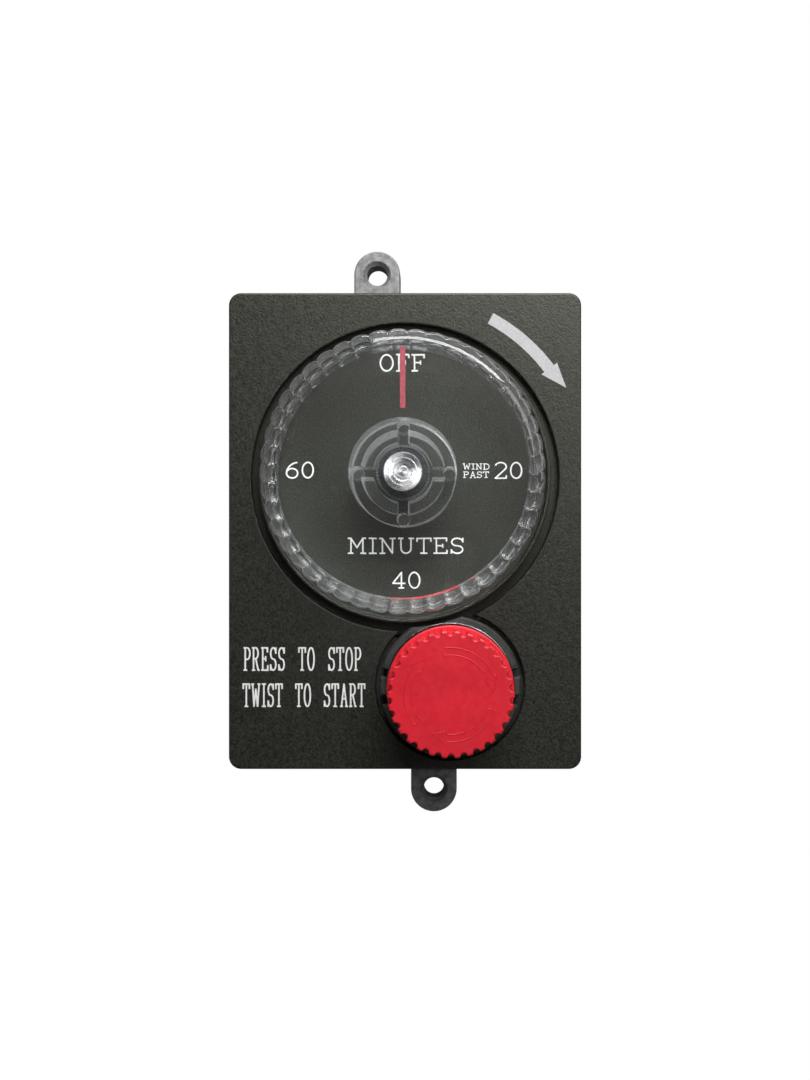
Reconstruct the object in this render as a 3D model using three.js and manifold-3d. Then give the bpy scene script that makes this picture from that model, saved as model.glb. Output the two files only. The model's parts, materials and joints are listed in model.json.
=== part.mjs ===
// Sixty-minute clockwork gas timer with an emergency stop button, flush-mounted in a panel.
// Millimetres. Seen from the front, +X is right and +Z is up; +Y runs back into the panel.
// The origin is on the panel's outer face, midway between the two ear holes.
// Depth is written as h, the distance in front of that face, so a point at depth h has y = -h.
import * as THREE from "three";
import { mergeVertices } from "three/addons/utils/BufferGeometryUtils.js";
import Module from "manifold-3d";

const wasm = await Module();
wasm.setup();

// ---------------------------------------------------------------- driving dimensions
const TURN = 2 * Math.PI;
const GAP = 0.1; // between pieces that are clamped face to face
const RUN = 0.1; // radial running clearance of a shaft in its hole
const PAST = 1; // how far a cutter runs past the face it opens
const SIDES = { screw: 8, small: 12, medium: 16, large: 24, dial: 48 }; // facets of a round

const PLATE = { width: 114, height: 154, corner: 4, back: 10.5, front: 13.5, edge: 0.8 };
const FLANGE = { width: 106, height: 146, corner: 5, front: 9.2 };
const HOUSING = { width: 98, height: 138, corner: 6, back: -16 };
const CAVITY = { width: 90, height: 130, corner: 7, floor: -12 };
const EAR = { x: 9.3, z: 84, half: 7.5, tip: 91.75, front: 8.5, hole: 3.3, chamfer: 1.2 };
const BLOCK = { x: 14.5, z: -16, width: 45, height: 104, corner: 6, back: -40 };

const DIAL = { x: 0, z: 17.4, opening: 49.7 };
const CUP = { skirt: 51.5, radius: 47.1, wall: 1.2, back: 9.6, behind: 10.3, face: 12, rim: 16.5, middle: 7 };
const CUP_BOSS = { x: 38, radius: 2.6, ceiling: 11.5 }; // the two bosses that take the dial screws
const KNOB = { radius: 43.6, scallops: 45, scallop: 0.8, back: 14.2, front: 38.5, face: 2.5, edge: 1.2 };
const KNOB_DRAFT = 1.4; // how much narrower the knob is at its back
const KNOB_WALL = { front: 38.9, back: 40.9 };
const HUB = { radius: 16.5, ring: 12.9, socket: 9.1, rib: 3.3, back: 15, pocket: 34 };
const INSERT = { radius: 5.85, back: 16, front: 36.2, ring: 2.7, pip: 1.5, groove: 0.4 };
const INSERT_FLANGE = { radius: 8.1, knurls: 24, knurl: 0.35, back: 24, front: 32 };
const ARBOR = { radius: 3, collar: 4.2, pivot: 2.5, front: 34.4, back: -13.8, flat: 2.3, flatFrom: 20 };

const STOP = { x: 14.6, z: -49.9, opening: 24 };
const COLLAR = { radius: 22.7, dialCut: 48.4, back: 9.4, front: 17, bore: 8.2 };
const COLLAR_SKIRT = { radius: 25.5, dialCut: 52, front: 10.4 };
const COLLAR_NOTCH = { from: 3.2, to: 6, depth: 4.5 };
const HEAD = { flange: 20, tip: 19.2, teeth: 30, notch: 1.15, back: 23.5, step: 26, front: 41.5, edge: 0.8 };
const HEAD_HOLLOW = { radius: 13, ceiling: 38, boss: 6, bossBack: 28 };
const LATCH_RING = { inner: 9, outer: 12.6, back: 33 };
const RING_NUT = { radius: 20.6, front: 18.6 };
const STEM = { radius: 3.5, end: 2.5, front: 39.5, back: -26.3, valve: -21.8, rivet: 3.4, rivetFront: -25.5 };
const STEM_GROOVE = { radius: 2.5, front: -6.9, back: -9.1 };
const BUSHING = { radius: 7.8, front: 19.5, back: -1.5 };
const RETURN_SPRING = { radius: 7.4, wire: 0.5, turns: 6 };

const CHAMBER = { radius: 10, front: -18, back: -30 };
const SEAT = { stop: 5.5, timer: 5, back: -32 };
const PASSAGE = { half: 12, gasket: 12.5, cover: 13.5 };
const TOWER = 13; // radius of the casting round the stop button's bushing
const PORT = { radius: 8.5, boss: 13.5, depth: -24, reach: 49.2, inlet: STOP.z, outlet: DIAL.z };
const ADAPTER = { hex: 24, head: 6.7, shank: 8.2, length: 12, bore: 6.5, chamfer: 2 };

const TIMER_PIN = { radius: 1.5, front: -9.2, back: -35.6, groove: 3.2, grooveBack: -14 };
const TIMER_VALVE = { radius: 7.5, seal: -32.3, sealBack: -33.8, disc: -33.9, discBack: -35.4 };
const TIMER_ORING = { radius: 3, front: -12.2, back: -13.8 };
const TIMER_SPRING = { radius: 4, wire: 0.4, turns: 3 };
const STOP_VALVE = { radius: 8, disc: -21.9, discBack: -23.9, seal: -24, sealBack: -25.4 };
const STOP_ORING = { front: -7, back: -9 };

const MOVEMENT = { left: -42, right: 42, bottom: -46, top: 44, corner: 5, pillar: 36, pillarRadius: 3 };
const MOVEMENT_BOSS = { radius: 3.6, tapBack: -14.8 };
const FRONT_PLATE = { back: 7, front: 8.5, hole: 4.6 };
const REAR_PLATE = { back: -7.5, front: -6, bearing: -14.5 };
const BUSH = { radius: 4.5, flange: 6.5, front: 10.4 };
const CAM = { inner: 10, outer: 19, front: -7.9, back: -9, lift: 2.5, sweep: 270, end: 330 };
const BARREL = { radius: 20, wall: 1, floor: 6.1, front: 6.9, back: 0, play: 0.4 };
const MAINSPRING = { turns: 4, perTurn: 16, strip: 0.5, back: 0.6, front: 5.5 };
const GEAR = { pressure: 25, addendum: 0.75, clearance: 0.3, backlash: 0.14 };
const MAIN = { teeth: 45, module: 1.2, front: -1.2, back: -3.2 };
const SECOND = { teeth: 36, module: 0.8, front: -4, back: -5.4 };
const THIRD = { teeth: 40, module: 0.6, front: 4, back: 2.8 };
const PINION = { teeth: 10, second: [-3.4, -1], third: [-5.6, -3.8], escape: [2.6, 4.2] }; // [back, front]
const ESCAPE = { teeth: 15, radius: 8.5, root: 6.6, front: -4.2, back: -5.2 };
const PALLET = { distance: 13.5, gap: 0.9, spread: 42, hub: 2.2, arm: 1.6, tail: 8, front: -4.3, back: -5.1 };
const STAFF = { radius: 1.5, pivot: 0.8, shake: 0.3, inset: 0.2 }; // a train arbor, its ends, its end play

const COVER = { thickness: 4, raised: 1.2, gasket: 1, screwInset: 5, tap: 8 };
const COVER_SCREW = { shank: 2, head: 3.4, height: 2.2, length: 9 };
const SCREW = { shank: 1.5, slot: 0.7 };
const PLATE_SCREW = { shank: 1.5, head: 2.75, height: 1.8, length: 8 };
const MOVEMENT_SCREW = { shank: 1.5, head: 2.9, height: 0.9, length: 22 };
const DIAL_SCREW = { shank: 1.5, head: 2.6, height: 1.6, length: 4 };
const PLATE_BOSS = { inset: 4.6, radius: 2.9, back: 4, ceiling: 11.5, pocket: 3.2, counterbore: 2.4 };

// ---------------------------------------------------------------- outlines, in x and z
const polar = (r, a, x = 0, z = 0) => new THREE.Vector2(x + r * Math.cos(a), z + r * Math.sin(a));
const degrees = THREE.MathUtils.degToRad;

function circle(r, n = SIDES.medium, x = 0, z = 0, phase = 0) {
  return Array.from({ length: n }, (_, i) => polar(r, phase + (i / n) * TURN, x, z));
}

function arc(r, from, to, n, x = 0, z = 0) {
  return Array.from({ length: n + 1 }, (_, i) => polar(r, from + ((to - from) * i) / n, x, z));
}

function rectangle(left, right, bottom, top, corner, n = 3) {
  const quarter = TURN / 4;
  return [
    [right - corner, top - corner, 0],
    [left + corner, top - corner, 1],
    [left + corner, bottom + corner, 2],
    [right - corner, bottom + corner, 3],
  ].flatMap(([x, z, k]) => arc(corner, k * quarter, (k + 1) * quarter, n, x, z));
}

function centred({ width, height, corner, x = 0, z = 0 }, inset = 0) {
  const w = width / 2 - inset;
  const t = height / 2 - inset;
  return rectangle(x - w, x + w, z - t, z + t, Math.max(corner - inset, 0.5));
}

// ---------------------------------------------------------------- solids
function solid(geometry) {
  const bare = geometry.index ? geometry.toNonIndexed() : geometry;
  bare.deleteAttribute("normal");
  bare.deleteAttribute("uv");
  const merged = mergeVertices(bare, 1e-4);
  const vertProperties = merged.getAttribute("position").array;
  const corners = merged.index.array;
  const kept = [];
  for (let i = 0; i < corners.length; i += 3) {
    const [a, b, c] = corners.slice(i, i + 3);
    if (a !== b && b !== c && c !== a) kept.push(a, b, c);
  }
  const build = (list) =>
    new wasm.Manifold(new wasm.Mesh({ numProp: 3, vertProperties, triVerts: new Uint32Array(list) }));
  const made = build(kept);
  return made.volume() < 0 ? build(kept.reverse()) : made;
}

function geometryOf(made) {
  const { numProp, numVert, vertProperties, triVerts } = made.getMesh();
  const position = new Float32Array(numVert * 3);
  for (let i = 0; i < numVert; i++) {
    position.set(vertProperties.subarray(i * numProp, i * numProp + 3), i * 3);
  }
  const geometry = new THREE.BufferGeometry();
  geometry.setAttribute("position", new THREE.BufferAttribute(position, 3));
  geometry.setIndex(new THREE.BufferAttribute(triVerts, 1));
  geometry.computeVertexNormals();
  return geometry;
}

// A straight-sided solid with this outline, from one depth to another.
function prism(outline, back, front, holes = []) {
  const shape = new THREE.Shape(outline);
  shape.holes = holes.map((hole) => new THREE.Path(hole));
  const geometry = new THREE.ExtrudeGeometry(shape, { depth: front - back, bevelEnabled: false });
  return solid(geometry.rotateX(Math.PI / 2).translate(0, -back, 0));
}

const disc = (r, back, front, n = SIDES.medium, x = 0, z = 0) => prism(circle(r, n, x, z), back, front);

// A turned solid about a line along Y through (x, z): the profile is [radius, h] pairs.
function turned(profile, n = SIDES.medium, x = 0, z = 0) {
  const onAxis = profile[0][0] === 0 && profile.at(-1)[0] === 0;
  const closed = onAxis ? profile : [...profile, profile[0]];
  const points = closed.map(([r, h]) => new THREE.Vector2(r, -h));
  return solid(new THREE.LatheGeometry(points, n).translate(x, 0, z));
}

// A solid through outlines of equal length, each at its own depth.
function loft(levels) {
  const count = levels[0][0].length;
  const position = levels.flatMap(([outline, h]) => outline.flatMap((p) => [p.x, -h, p.y]));
  const index = [];
  for (let k = 0; k + 1 < levels.length; k++) {
    for (let i = 0; i < count; i++) {
      const a = k * count + i;
      const b = k * count + ((i + 1) % count);
      index.push(a, b, b + count, a, b + count, a + count);
    }
  }
  for (const [k, flip] of [[0, true], [levels.length - 1, false]]) {
    const [outline, h] = levels[k];
    const centre = position.length / 3;
    position.push(
      outline.reduce((sum, p) => sum + p.x, 0) / count,
      -h,
      outline.reduce((sum, p) => sum + p.y, 0) / count,
    );
    for (let i = 0; i < count; i++) {
      const a = k * count + i;
      const b = k * count + ((i + 1) % count);
      index.push(centre, ...(flip ? [b, a] : [a, b]));
    }
  }
  const geometry = new THREE.BufferGeometry();
  geometry.setAttribute("position", new THREE.Float32BufferAttribute(position, 3));
  geometry.setIndex(index);
  return solid(geometry);
}

// A round bar along X, at depth h and height z.
function crossBar(r, from, to, h, z, n = SIDES.medium) {
  const bar = new THREE.CylinderGeometry(r, r, to - from, n);
  return solid(bar.rotateZ(Math.PI / 2).translate((from + to) / 2, -h, z));
}

// A coil spring about the Y axis with closed wire ends.
function coil({ radius, wire, turns, back, front, steps = 9, sides = 5 }) {
  class Helix extends THREE.Curve {
    getPoint(t, target = new THREE.Vector3()) {
      const a = t * turns * TURN;
      const h = back + wire + t * (front - back - 2 * wire);
      return target.set(radius * Math.cos(a), -h, radius * Math.sin(a));
    }
  }
  const section = new THREE.Shape(circle(wire, sides));
  const options = { steps: steps * turns, extrudePath: new Helix(), bevelEnabled: false };
  return solid(new THREE.ExtrudeGeometry(section, options));
}

// ---------------------------------------------------------------- gears
function involute(angle) {
  return Math.tan(angle) - angle;
}

// Half of a tooth's angle at radius r.
function toothHalf(r, teeth, module) {
  const pitch = (module * teeth) / 2;
  const pressure = degrees(GEAR.pressure);
  const base = pitch * Math.cos(pressure);
  const at = Math.acos(Math.min(1, base / Math.max(r, base)));
  const half = TURN / (4 * teeth) - GEAR.backlash / (2 * pitch);
  return half + involute(pressure) - involute(at);
}

function gearOutline(teeth, module, phase, flank = 1) {
  const pitch = (module * teeth) / 2;
  const tip = pitch + GEAR.addendum * module;
  const root = pitch - (GEAR.addendum + GEAR.clearance) * module;
  const radii = Array.from({ length: flank + 1 }, (_, i) => root + ((tip - root) * i) / flank);
  return Array.from({ length: teeth }, (_, k) => {
    const middle = phase + (k / teeth) * TURN;
    const rising = radii.map((r) => polar(r, middle - toothHalf(r, teeth, module)));
    const falling = radii.map((r) => polar(r, middle + toothHalf(r, teeth, module)));
    return [...rising, ...falling.reverse()];
  }).flat();
}

// The angle of one tooth of a gear that meshes with another at the given bearing from it.
function meshedPhase(phase, teeth, ownTeeth, bearing) {
  const offset = ((bearing - phase) / TURN) * teeth;
  return bearing + Math.PI - ((0.5 - offset) / ownTeeth) * TURN;
}

const centreDistance = ({ teeth, module }) => (module * (teeth + PINION.teeth)) / 2;

// A flat wheel with round windows in its web.
function wheel({ teeth, module, front, back }, phase, bore, windows) {
  const hole = circle(bore, bore > 2 ? SIDES.medium : SIDES.screw);
  const made = prism(gearOutline(teeth, module, phase), back, front, [hole]);
  const pitch = (module * teeth) / 2;
  const middle = (pitch + bore) / 2;
  const openings = Array.from({ length: windows }, (_, k) => {
    const at = polar(middle, (k / windows) * TURN);
    return disc(pitch * 0.27, back - PAST, front + PAST, SIDES.screw, at.x, at.y);
  });
  return openings.reduce((body, hole) => body.subtract(hole), made);
}

// A pinion cut on its own arbor, with a pivot at each end.
function pinion(module, phase, [back, front]) {
  const { radius, pivot, shake, inset } = STAFF;
  const leaves = prism(gearOutline(PINION.teeth, module, phase, 2), back, front);
  const ends = { front: FRONT_PLATE.front - inset, back: REAR_PLATE.back + inset };
  const shoulder = { front: FRONT_PLATE.back - shake, back: REAR_PLATE.front + shake };
  const arbor = turned([
    [0, ends.back],
    [pivot, ends.back],
    [pivot, shoulder.back],
    [radius, shoulder.back],
    [radius, shoulder.front],
    [pivot, shoulder.front],
    [pivot, ends.front],
    [0, ends.front],
  ], SIDES.screw);
  return leaves.add(arbor);
}

// ---------------------------------------------------------------- where the train's arbors stand
// Each is measured from the dial's axis.
const phases = { main: 0 };
const bearing = { second: degrees(215), third: degrees(-40), escape: degrees(-15), pallet: degrees(8) };
const secondAt = polar(centreDistance(MAIN), bearing.second);
const thirdAt = polar(centreDistance(SECOND), bearing.third, secondAt.x, secondAt.y);
const escapeAt = polar(centreDistance(THIRD), bearing.escape, thirdAt.x, thirdAt.y);
const palletAt = polar(PALLET.distance, bearing.pallet, escapeAt.x, escapeAt.y);
phases.second = meshedPhase(phases.main, MAIN.teeth, PINION.teeth, bearing.second);
phases.third = meshedPhase(phases.second, SECOND.teeth, PINION.teeth, bearing.third);
phases.escape = meshedPhase(phases.third, THIRD.teeth, PINION.teeth, bearing.escape);

// The four corners of a rectangle about the origin.
const QUADRANTS = [[1, 1], [-1, 1], [-1, -1], [1, -1]];
const corners = (x, z) => QUADRANTS.map(([i, k]) => new THREE.Vector2(i * x, k * z));

const pillarPlaces = corners(MOVEMENT.pillar, MOVEMENT.pillar);
const plateBossPlaces = corners(FLANGE.width / 2 - PLATE_BOSS.inset, FLANGE.height / 2 - PLATE_BOSS.inset);
const coverScrewPlaces = [-1, 1].flatMap((side) => [-1, 0, 1].map((row) => new THREE.Vector2(
  BLOCK.x + side * (BLOCK.width / 2 - COVER.screwInset),
  BLOCK.z + row * (BLOCK.height / 2 - COVER.screwInset),
)));
const dialScrewPlaces = [-1, 1].map((side) => new THREE.Vector2(side * CUP_BOSS.x, 0));

// The outline of the gas passage behind both valves, with this half width.
const passageOutline = (half) => [
  ...arc(half, 0, Math.PI, 8, STOP.x, DIAL.z),
  ...arc(half, Math.PI, TURN, 8, STOP.x, STOP.z),
];

// ---------------------------------------------------------------- front of the timer
function facePlate() {
  const { back, front, edge } = PLATE;
  let plate = loft([
    [centred(PLATE), back],
    [centred(PLATE), front - edge],
    [centred(PLATE, edge), front],
  ]);
  plate = plate.subtract(disc(DIAL.opening, back - PAST, front + PAST, SIDES.dial, DIAL.x, DIAL.z));
  plate = plate.subtract(disc(STOP.opening, back - PAST, front + PAST, SIDES.large, STOP.x, STOP.z));
  const boss = PLATE_BOSS;
  for (const { x, y: z } of plateBossPlaces) {
    plate = plate.add(disc(boss.radius, boss.back, back + PAST, SIDES.screw, x, z));
    plate = plate.subtract(disc(SCREW.shank + RUN, boss.back - PAST, boss.ceiling, SIDES.screw, x, z));
  }
  return plate;
}

function dialCup() {
  const { skirt, radius, wall, back, behind, face, rim, middle } = CUP;
  const round = 0.3;
  let cup = turned([
    [middle, back],
    [skirt, back],
    [skirt, behind],
    [radius, behind],
    [radius, rim - round],
    [radius - round, rim],
    [radius - wall, rim],
    [radius - wall, face],
    [middle, face],
  ], SIDES.dial);
  for (const { x, y: z } of dialScrewPlaces) {
    cup = cup.add(disc(CUP_BOSS.radius, FRONT_PLATE.front + GAP, back + PAST, SIDES.screw, x, z));
    cup = cup.subtract(disc(SCREW.shank + RUN, FRONT_PLATE.front, CUP_BOSS.ceiling, SIDES.screw, x, z));
  }
  return cup;
}

// One outline of the knob: round bumps that meet in sharp valleys.
function scalloped(radius, perBump = 3) {
  return Array.from({ length: KNOB.scallops * perBump }, (_, i) => {
    const across = (i % perBump) / perBump - 0.5;
    const drop = KNOB.scallop * (2 * across) ** 2;
    return polar(radius - drop, (i / perBump / KNOB.scallops) * TURN);
  });
}

// The clear knob: a scalloped cup that narrows a little towards the back, with a ribbed hub inside.
function dialKnob() {
  const { radius, back, front, face, edge } = KNOB;
  const shell = loft([
    [scalloped(radius - KNOB_DRAFT), back],
    [scalloped(radius), front - edge],
    [scalloped(radius - edge), front],
  ]);
  const hollow = turned([
    [0, back - PAST],
    [KNOB_WALL.back, back - PAST],
    [KNOB_WALL.front, front - face],
    [0, front - face],
  ], SIDES.dial);
  const hub = disc(HUB.radius, HUB.back, front - face + PAST / 2, SIDES.large);
  let knob = shell.subtract(hollow).add(hub);
  const half = (r) => Math.asin(HUB.rib / 2 / r);
  for (let k = 0; k < 4; k++) {
    const a = (k * TURN) / 4;
    const b = a + TURN / 4;
    const outer = arc(HUB.ring, a + half(HUB.ring), b - half(HUB.ring), 5);
    const inner = arc(HUB.socket, b - half(HUB.socket), a + half(HUB.socket), 4);
    knob = knob.subtract(prism([...outer, ...inner], HUB.back - PAST, HUB.pocket));
  }
  const flange = INSERT_FLANGE;
  const flangeHole = disc(flange.radius + GAP, HUB.back - PAST, flange.front + GAP, SIDES.large);
  const capHole = disc(INSERT.radius + GAP, HUB.back, INSERT.front + GAP);
  return knob.subtract(flangeHole).subtract(capHole);
}

// The metal boss moulded into the hub: a turned cap on a knurled flange, bored for the arbor.
function knobInsert() {
  const { radius, back, front, ring, pip, groove } = INSERT;
  const bore = ARBOR.radius + RUN;
  const boss = turned([
    [bore, back],
    [radius, back],
    [radius, front],
    [ring, front],
    [ring, front - groove],
    [pip, front - groove],
    [pip, front - 2 * groove],
    [0, front - 2 * groove],
    [0, ARBOR.front + 0.2],
    [bore, ARBOR.front + 0.2],
  ]);
  const { radius: rim, knurls, knurl } = INSERT_FLANGE;
  const ridges = Array.from({ length: 2 * knurls }, (_, i) =>
    polar(rim - (i % 2) * knurl, (i / knurls) * (TURN / 2)));
  const flange = prism(ridges, INSERT_FLANGE.back, INSERT_FLANGE.front, [circle(radius - GAP)]);
  return boss.add(flange);
}

function dialArbor() {
  const { radius, collar, pivot, front, back, flat, flatFrom } = ARBOR;
  const shaft = turned([
    [0, back],
    [pivot, back],
    [pivot, REAR_PLATE.back],
    [radius, REAR_PLATE.back],
    [radius, BARREL.back],
    [collar, BARREL.back],
    [collar, BARREL.floor - STAFF.shake],
    [radius, BARREL.floor - STAFF.shake],
    [radius, front],
    [0, front],
  ]);
  const cut = rectangle(flat, radius + PAST, -radius, radius, 0.1, 1);
  return shaft.subtract(prism(cut, flatFrom, front + PAST));
}

// ---------------------------------------------------------------- cast valve body
function ear(side) {
  const x = -side * EAR.x;
  const end = arc(EAR.half, 0, Math.PI, 10, x, EAR.tip - EAR.half);
  const root = FLANGE.height / 2 - 6;
  const outline = [new THREE.Vector2(x + EAR.half, root), ...end, new THREE.Vector2(x - EAR.half, root)];
  const upright = side > 0 ? outline : outline.map((p) => new THREE.Vector2(p.x, -p.y)).reverse();
  const hole = turned([
    [0, -PAST],
    [EAR.hole, -PAST],
    [EAR.hole, EAR.front - EAR.chamfer],
    [EAR.hole + EAR.chamfer + PAST, EAR.front + PAST],
    [0, EAR.front + PAST],
  ], SIDES.medium, x, side * EAR.z);
  return [prism(upright, 0, EAR.front), hole];
}

// The flange, the box behind it, the valve block, the port bosses and the two ears.
function castOutside() {
  return prism(centred(FLANGE), 0, FLANGE.front)
    .add(prism(centred(HOUSING), HOUSING.back, GAP))
    .add(prism(centred(BLOCK), BLOCK.back, HOUSING.back + PAST))
    .add(crossBar(PORT.boss, -PORT.reach, BLOCK.x, PORT.depth, PORT.inlet))
    .add(crossBar(PORT.boss, BLOCK.x, PORT.reach, PORT.depth, PORT.outlet));
}

// Inside the cavity: the stop button's tower, and four bosses and a bearing for the movement.
function castTower(body) {
  const { x, z } = STOP;
  return body
    .add(disc(TOWER, CAVITY.floor - PAST, FLANGE.front, SIDES.medium, x, z))
    .subtract(disc(BUSHING.radius + GAP, BUSHING.back - GAP, FLANGE.front + PAST, SIDES.medium, x, z))
    .subtract(disc(STEM.radius + RUN, CHAMBER.front - PAST, 0, SIDES.medium, x, z));
}

function castMovementBosses(body) {
  const { radius, tapBack } = MOVEMENT_BOSS;
  let made = body;
  for (const place of pillarPlaces) {
    const x = DIAL.x + place.x;
    const z = DIAL.z + place.y;
    made = made.add(disc(radius, CAVITY.floor - PAST, REAR_PLATE.back - GAP, SIDES.screw, x, z));
    made = made.subtract(disc(SCREW.shank + RUN, tapBack, REAR_PLATE.back, SIDES.screw, x, z));
  }
  const { bearing } = REAR_PLATE;
  return made.subtract(disc(ARBOR.pivot + RUN, bearing, CAVITY.floor + PAST, SIDES.medium, DIAL.x, DIAL.z));
}

// The gas way: side ports into two chambers, joined behind by one passage under the cover.
function castGasWay(body) {
  let made = body
    .subtract(crossBar(PORT.radius, -PORT.reach - PAST, STOP.x, PORT.depth, PORT.inlet))
    .subtract(crossBar(PORT.radius, STOP.x, PORT.reach + PAST, PORT.depth, PORT.outlet));
  for (const [z, seat] of [[STOP.z, SEAT.stop], [DIAL.z, SEAT.timer]]) {
    made = made.subtract(disc(CHAMBER.radius, CHAMBER.back, CHAMBER.front, SIDES.medium, STOP.x, z));
    made = made.subtract(disc(seat, SEAT.back - PAST, CHAMBER.back + PAST, SIDES.medium, STOP.x, z));
  }
  const { radius, groove, grooveBack } = TIMER_PIN;
  return made
    .subtract(prism(passageOutline(PASSAGE.half), BLOCK.back - PAST, SEAT.back))
    .subtract(disc(radius + RUN, CHAMBER.front - PAST, CAVITY.floor + PAST, SIDES.small, STOP.x, DIAL.z))
    .subtract(disc(groove, grooveBack, CAVITY.floor + PAST, SIDES.small, STOP.x, DIAL.z));
}

function castScrewHoles(body) {
  let made = body;
  for (const { x, y: z } of coverScrewPlaces) {
    const hole = disc(COVER_SCREW.shank + RUN, BLOCK.back - PAST, BLOCK.back + COVER.tap, SIDES.screw, x, z);
    made = made.subtract(hole);
  }
  const { back, pocket, counterbore } = PLATE_BOSS;
  for (const { x, y: z } of plateBossPlaces) {
    made = made.subtract(disc(pocket, back - 4 * GAP, FLANGE.front + PAST, SIDES.screw, x, z));
    made = made.subtract(disc(SCREW.shank + RUN, -PAST, back, SIDES.screw, x, z));
    made = made.subtract(disc(PLATE_SCREW.head + 3 * GAP, -PAST, counterbore, SIDES.screw, x, z));
  }
  return made;
}

function valveBody() {
  const ears = [ear(1), ear(-1)];
  let body = castOutside();
  for (const [lug] of ears) body = body.add(lug);
  body = body.subtract(prism(centred(CAVITY), CAVITY.floor, FLANGE.front + PAST));
  for (const [, hole] of ears) body = body.subtract(hole);
  return castScrewHoles(castGasWay(castMovementBosses(castTower(body))));
}

function rearGasket() {
  const back = BLOCK.back - GAP - COVER.gasket;
  const holes = coverScrewPlaces.map(({ x, y: z }) => circle(COVER_SCREW.shank + 3 * GAP, SIDES.screw, x, z));
  return prism(centred(BLOCK), back, BLOCK.back - GAP, [passageOutline(PASSAGE.gasket), ...holes]);
}

const coverFront = BLOCK.back - COVER.gasket - 2 * GAP;
const coverBack = coverFront - COVER.thickness;
const coverRim = coverBack + COVER.raised;

function rearCover() {
  const rim = prism(centred(BLOCK), coverRim, coverFront);
  const raised = prism(passageOutline(PASSAGE.cover), coverBack, coverFront);
  const holes = coverScrewPlaces.map(({ x, y: z }) =>
    disc(COVER_SCREW.shank + 3 * GAP, coverBack - PAST, coverFront + PAST, SIDES.screw, x, z));
  return holes.reduce((cover, hole) => cover.subtract(hole), rim.add(raised));
}

// A hexagon-headed brass bushing for a pipe thread: its own axis is Y, with the head in front.
function portAdapter() {
  const head = prism(circle(ADAPTER.hex / Math.sqrt(3), 6), 0, ADAPTER.head);
  const shank = disc(ADAPTER.shank, -ADAPTER.length, PAST);
  return head.add(shank).subtract(turned([
    [0, -ADAPTER.length - PAST],
    [ADAPTER.bore, -ADAPTER.length - PAST],
    [ADAPTER.bore, ADAPTER.head - ADAPTER.chamfer / 2],
    [ADAPTER.bore + ADAPTER.chamfer, ADAPTER.head + PAST],
    [0, ADAPTER.head + PAST],
  ]));
}

// A pan-head screw along Y: its head is in front of h = 0, and a slot crosses it.
function screw({ shank, head, height, length }) {
  const body = turned([
    [0, -length],
    [shank, -length],
    [shank, 0],
    [head, 0],
    [head, height * 0.6],
    [head * 0.75, height],
    [0, height],
  ], SIDES.screw);
  const slot = rectangle(-head - PAST, head + PAST, -SCREW.slot / 2, SCREW.slot / 2, 0.05, 1);
  return body.subtract(prism(slot, height * 0.5, height + PAST));
}

// ---------------------------------------------------------------- emergency stop, about its own axis
function stopCollar() {
  const { radius, dialCut, back, front, bore } = COLLAR;
  const skirt = COLLAR_SKIRT;
  const x = DIAL.x - STOP.x;
  const z = DIAL.z - STOP.z;
  let collar = disc(radius, back, front, SIDES.dial)
    .add(disc(skirt.radius, back, skirt.front, SIDES.dial))
    .subtract(disc(bore, back - PAST, front + PAST, SIDES.large))
    .subtract(disc(dialCut, back - PAST, front + PAST, SIDES.dial, x, z))
    .subtract(disc(skirt.dialCut, back - PAST, skirt.front, SIDES.dial, x, z));
  const { from, to, depth } = COLLAR_NOTCH;
  for (const [i, k] of QUADRANTS) {
    const across = [i * (radius - depth), i * (radius + PAST)];
    const up = [k * from, k * to];
    const [left, right] = [Math.min(...across), Math.max(...across)];
    const notch = rectangle(left, right, Math.min(...up), Math.max(...up), 0.1, 1);
    collar = collar.subtract(prism(notch, skirt.front, front + PAST));
  }
  return collar;
}

// One outline of the button's grip: round notches between flat-topped teeth.
function toothed(radius, depth) {
  const perTooth = 5;
  const halfNotch = 0.29;
  return Array.from({ length: HEAD.teeth * perTooth }, (_, i) => {
    const across = ((i % perTooth) + 0.5) / perTooth - 0.5;
    const inside = Math.max(0, 1 - (across / halfNotch) ** 2);
    return polar(radius - depth * Math.sqrt(inside), ((i + 0.5) / perTooth / HEAD.teeth) * TURN);
  });
}

function stopHead() {
  const { flange, tip, notch, back, step, front, edge } = HEAD;
  const grip = loft([
    [toothed(tip, notch), step - PAST],
    [toothed(tip, notch), front - edge],
    [toothed(tip - edge, notch - edge / 2), front],
  ]);
  const { radius, ceiling, boss, bossBack } = HEAD_HOLLOW;
  return grip
    .add(disc(flange, back, step, SIDES.dial))
    .subtract(disc(radius, back - PAST, ceiling, SIDES.large))
    .add(disc(boss, bossBack, ceiling + PAST / 2, SIDES.medium))
    .subtract(disc(STEM.radius + RUN, back - PAST, STEM.front + 3 * GAP, SIDES.medium));
}

// The stem passes through the bushing and both seals, and is riveted over behind the valve disc.
function stopStem() {
  const { radius, end, front, back, valve, rivet, rivetFront } = STEM;
  const groove = STEM_GROOVE;
  return turned([
    [0, back],
    [rivet, back],
    [rivet, rivetFront],
    [end, rivetFront],
    [end, valve],
    [radius, valve],
    [radius, groove.back],
    [groove.radius, groove.back],
    [groove.radius, groove.front],
    [radius, groove.front],
    [radius, front],
    [0, front],
  ]);
}

function washer(inner, outer, back, front, n = SIDES.medium) {
  return prism(circle(outer, n), back, front, [circle(inner, n)]);
}

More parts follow.
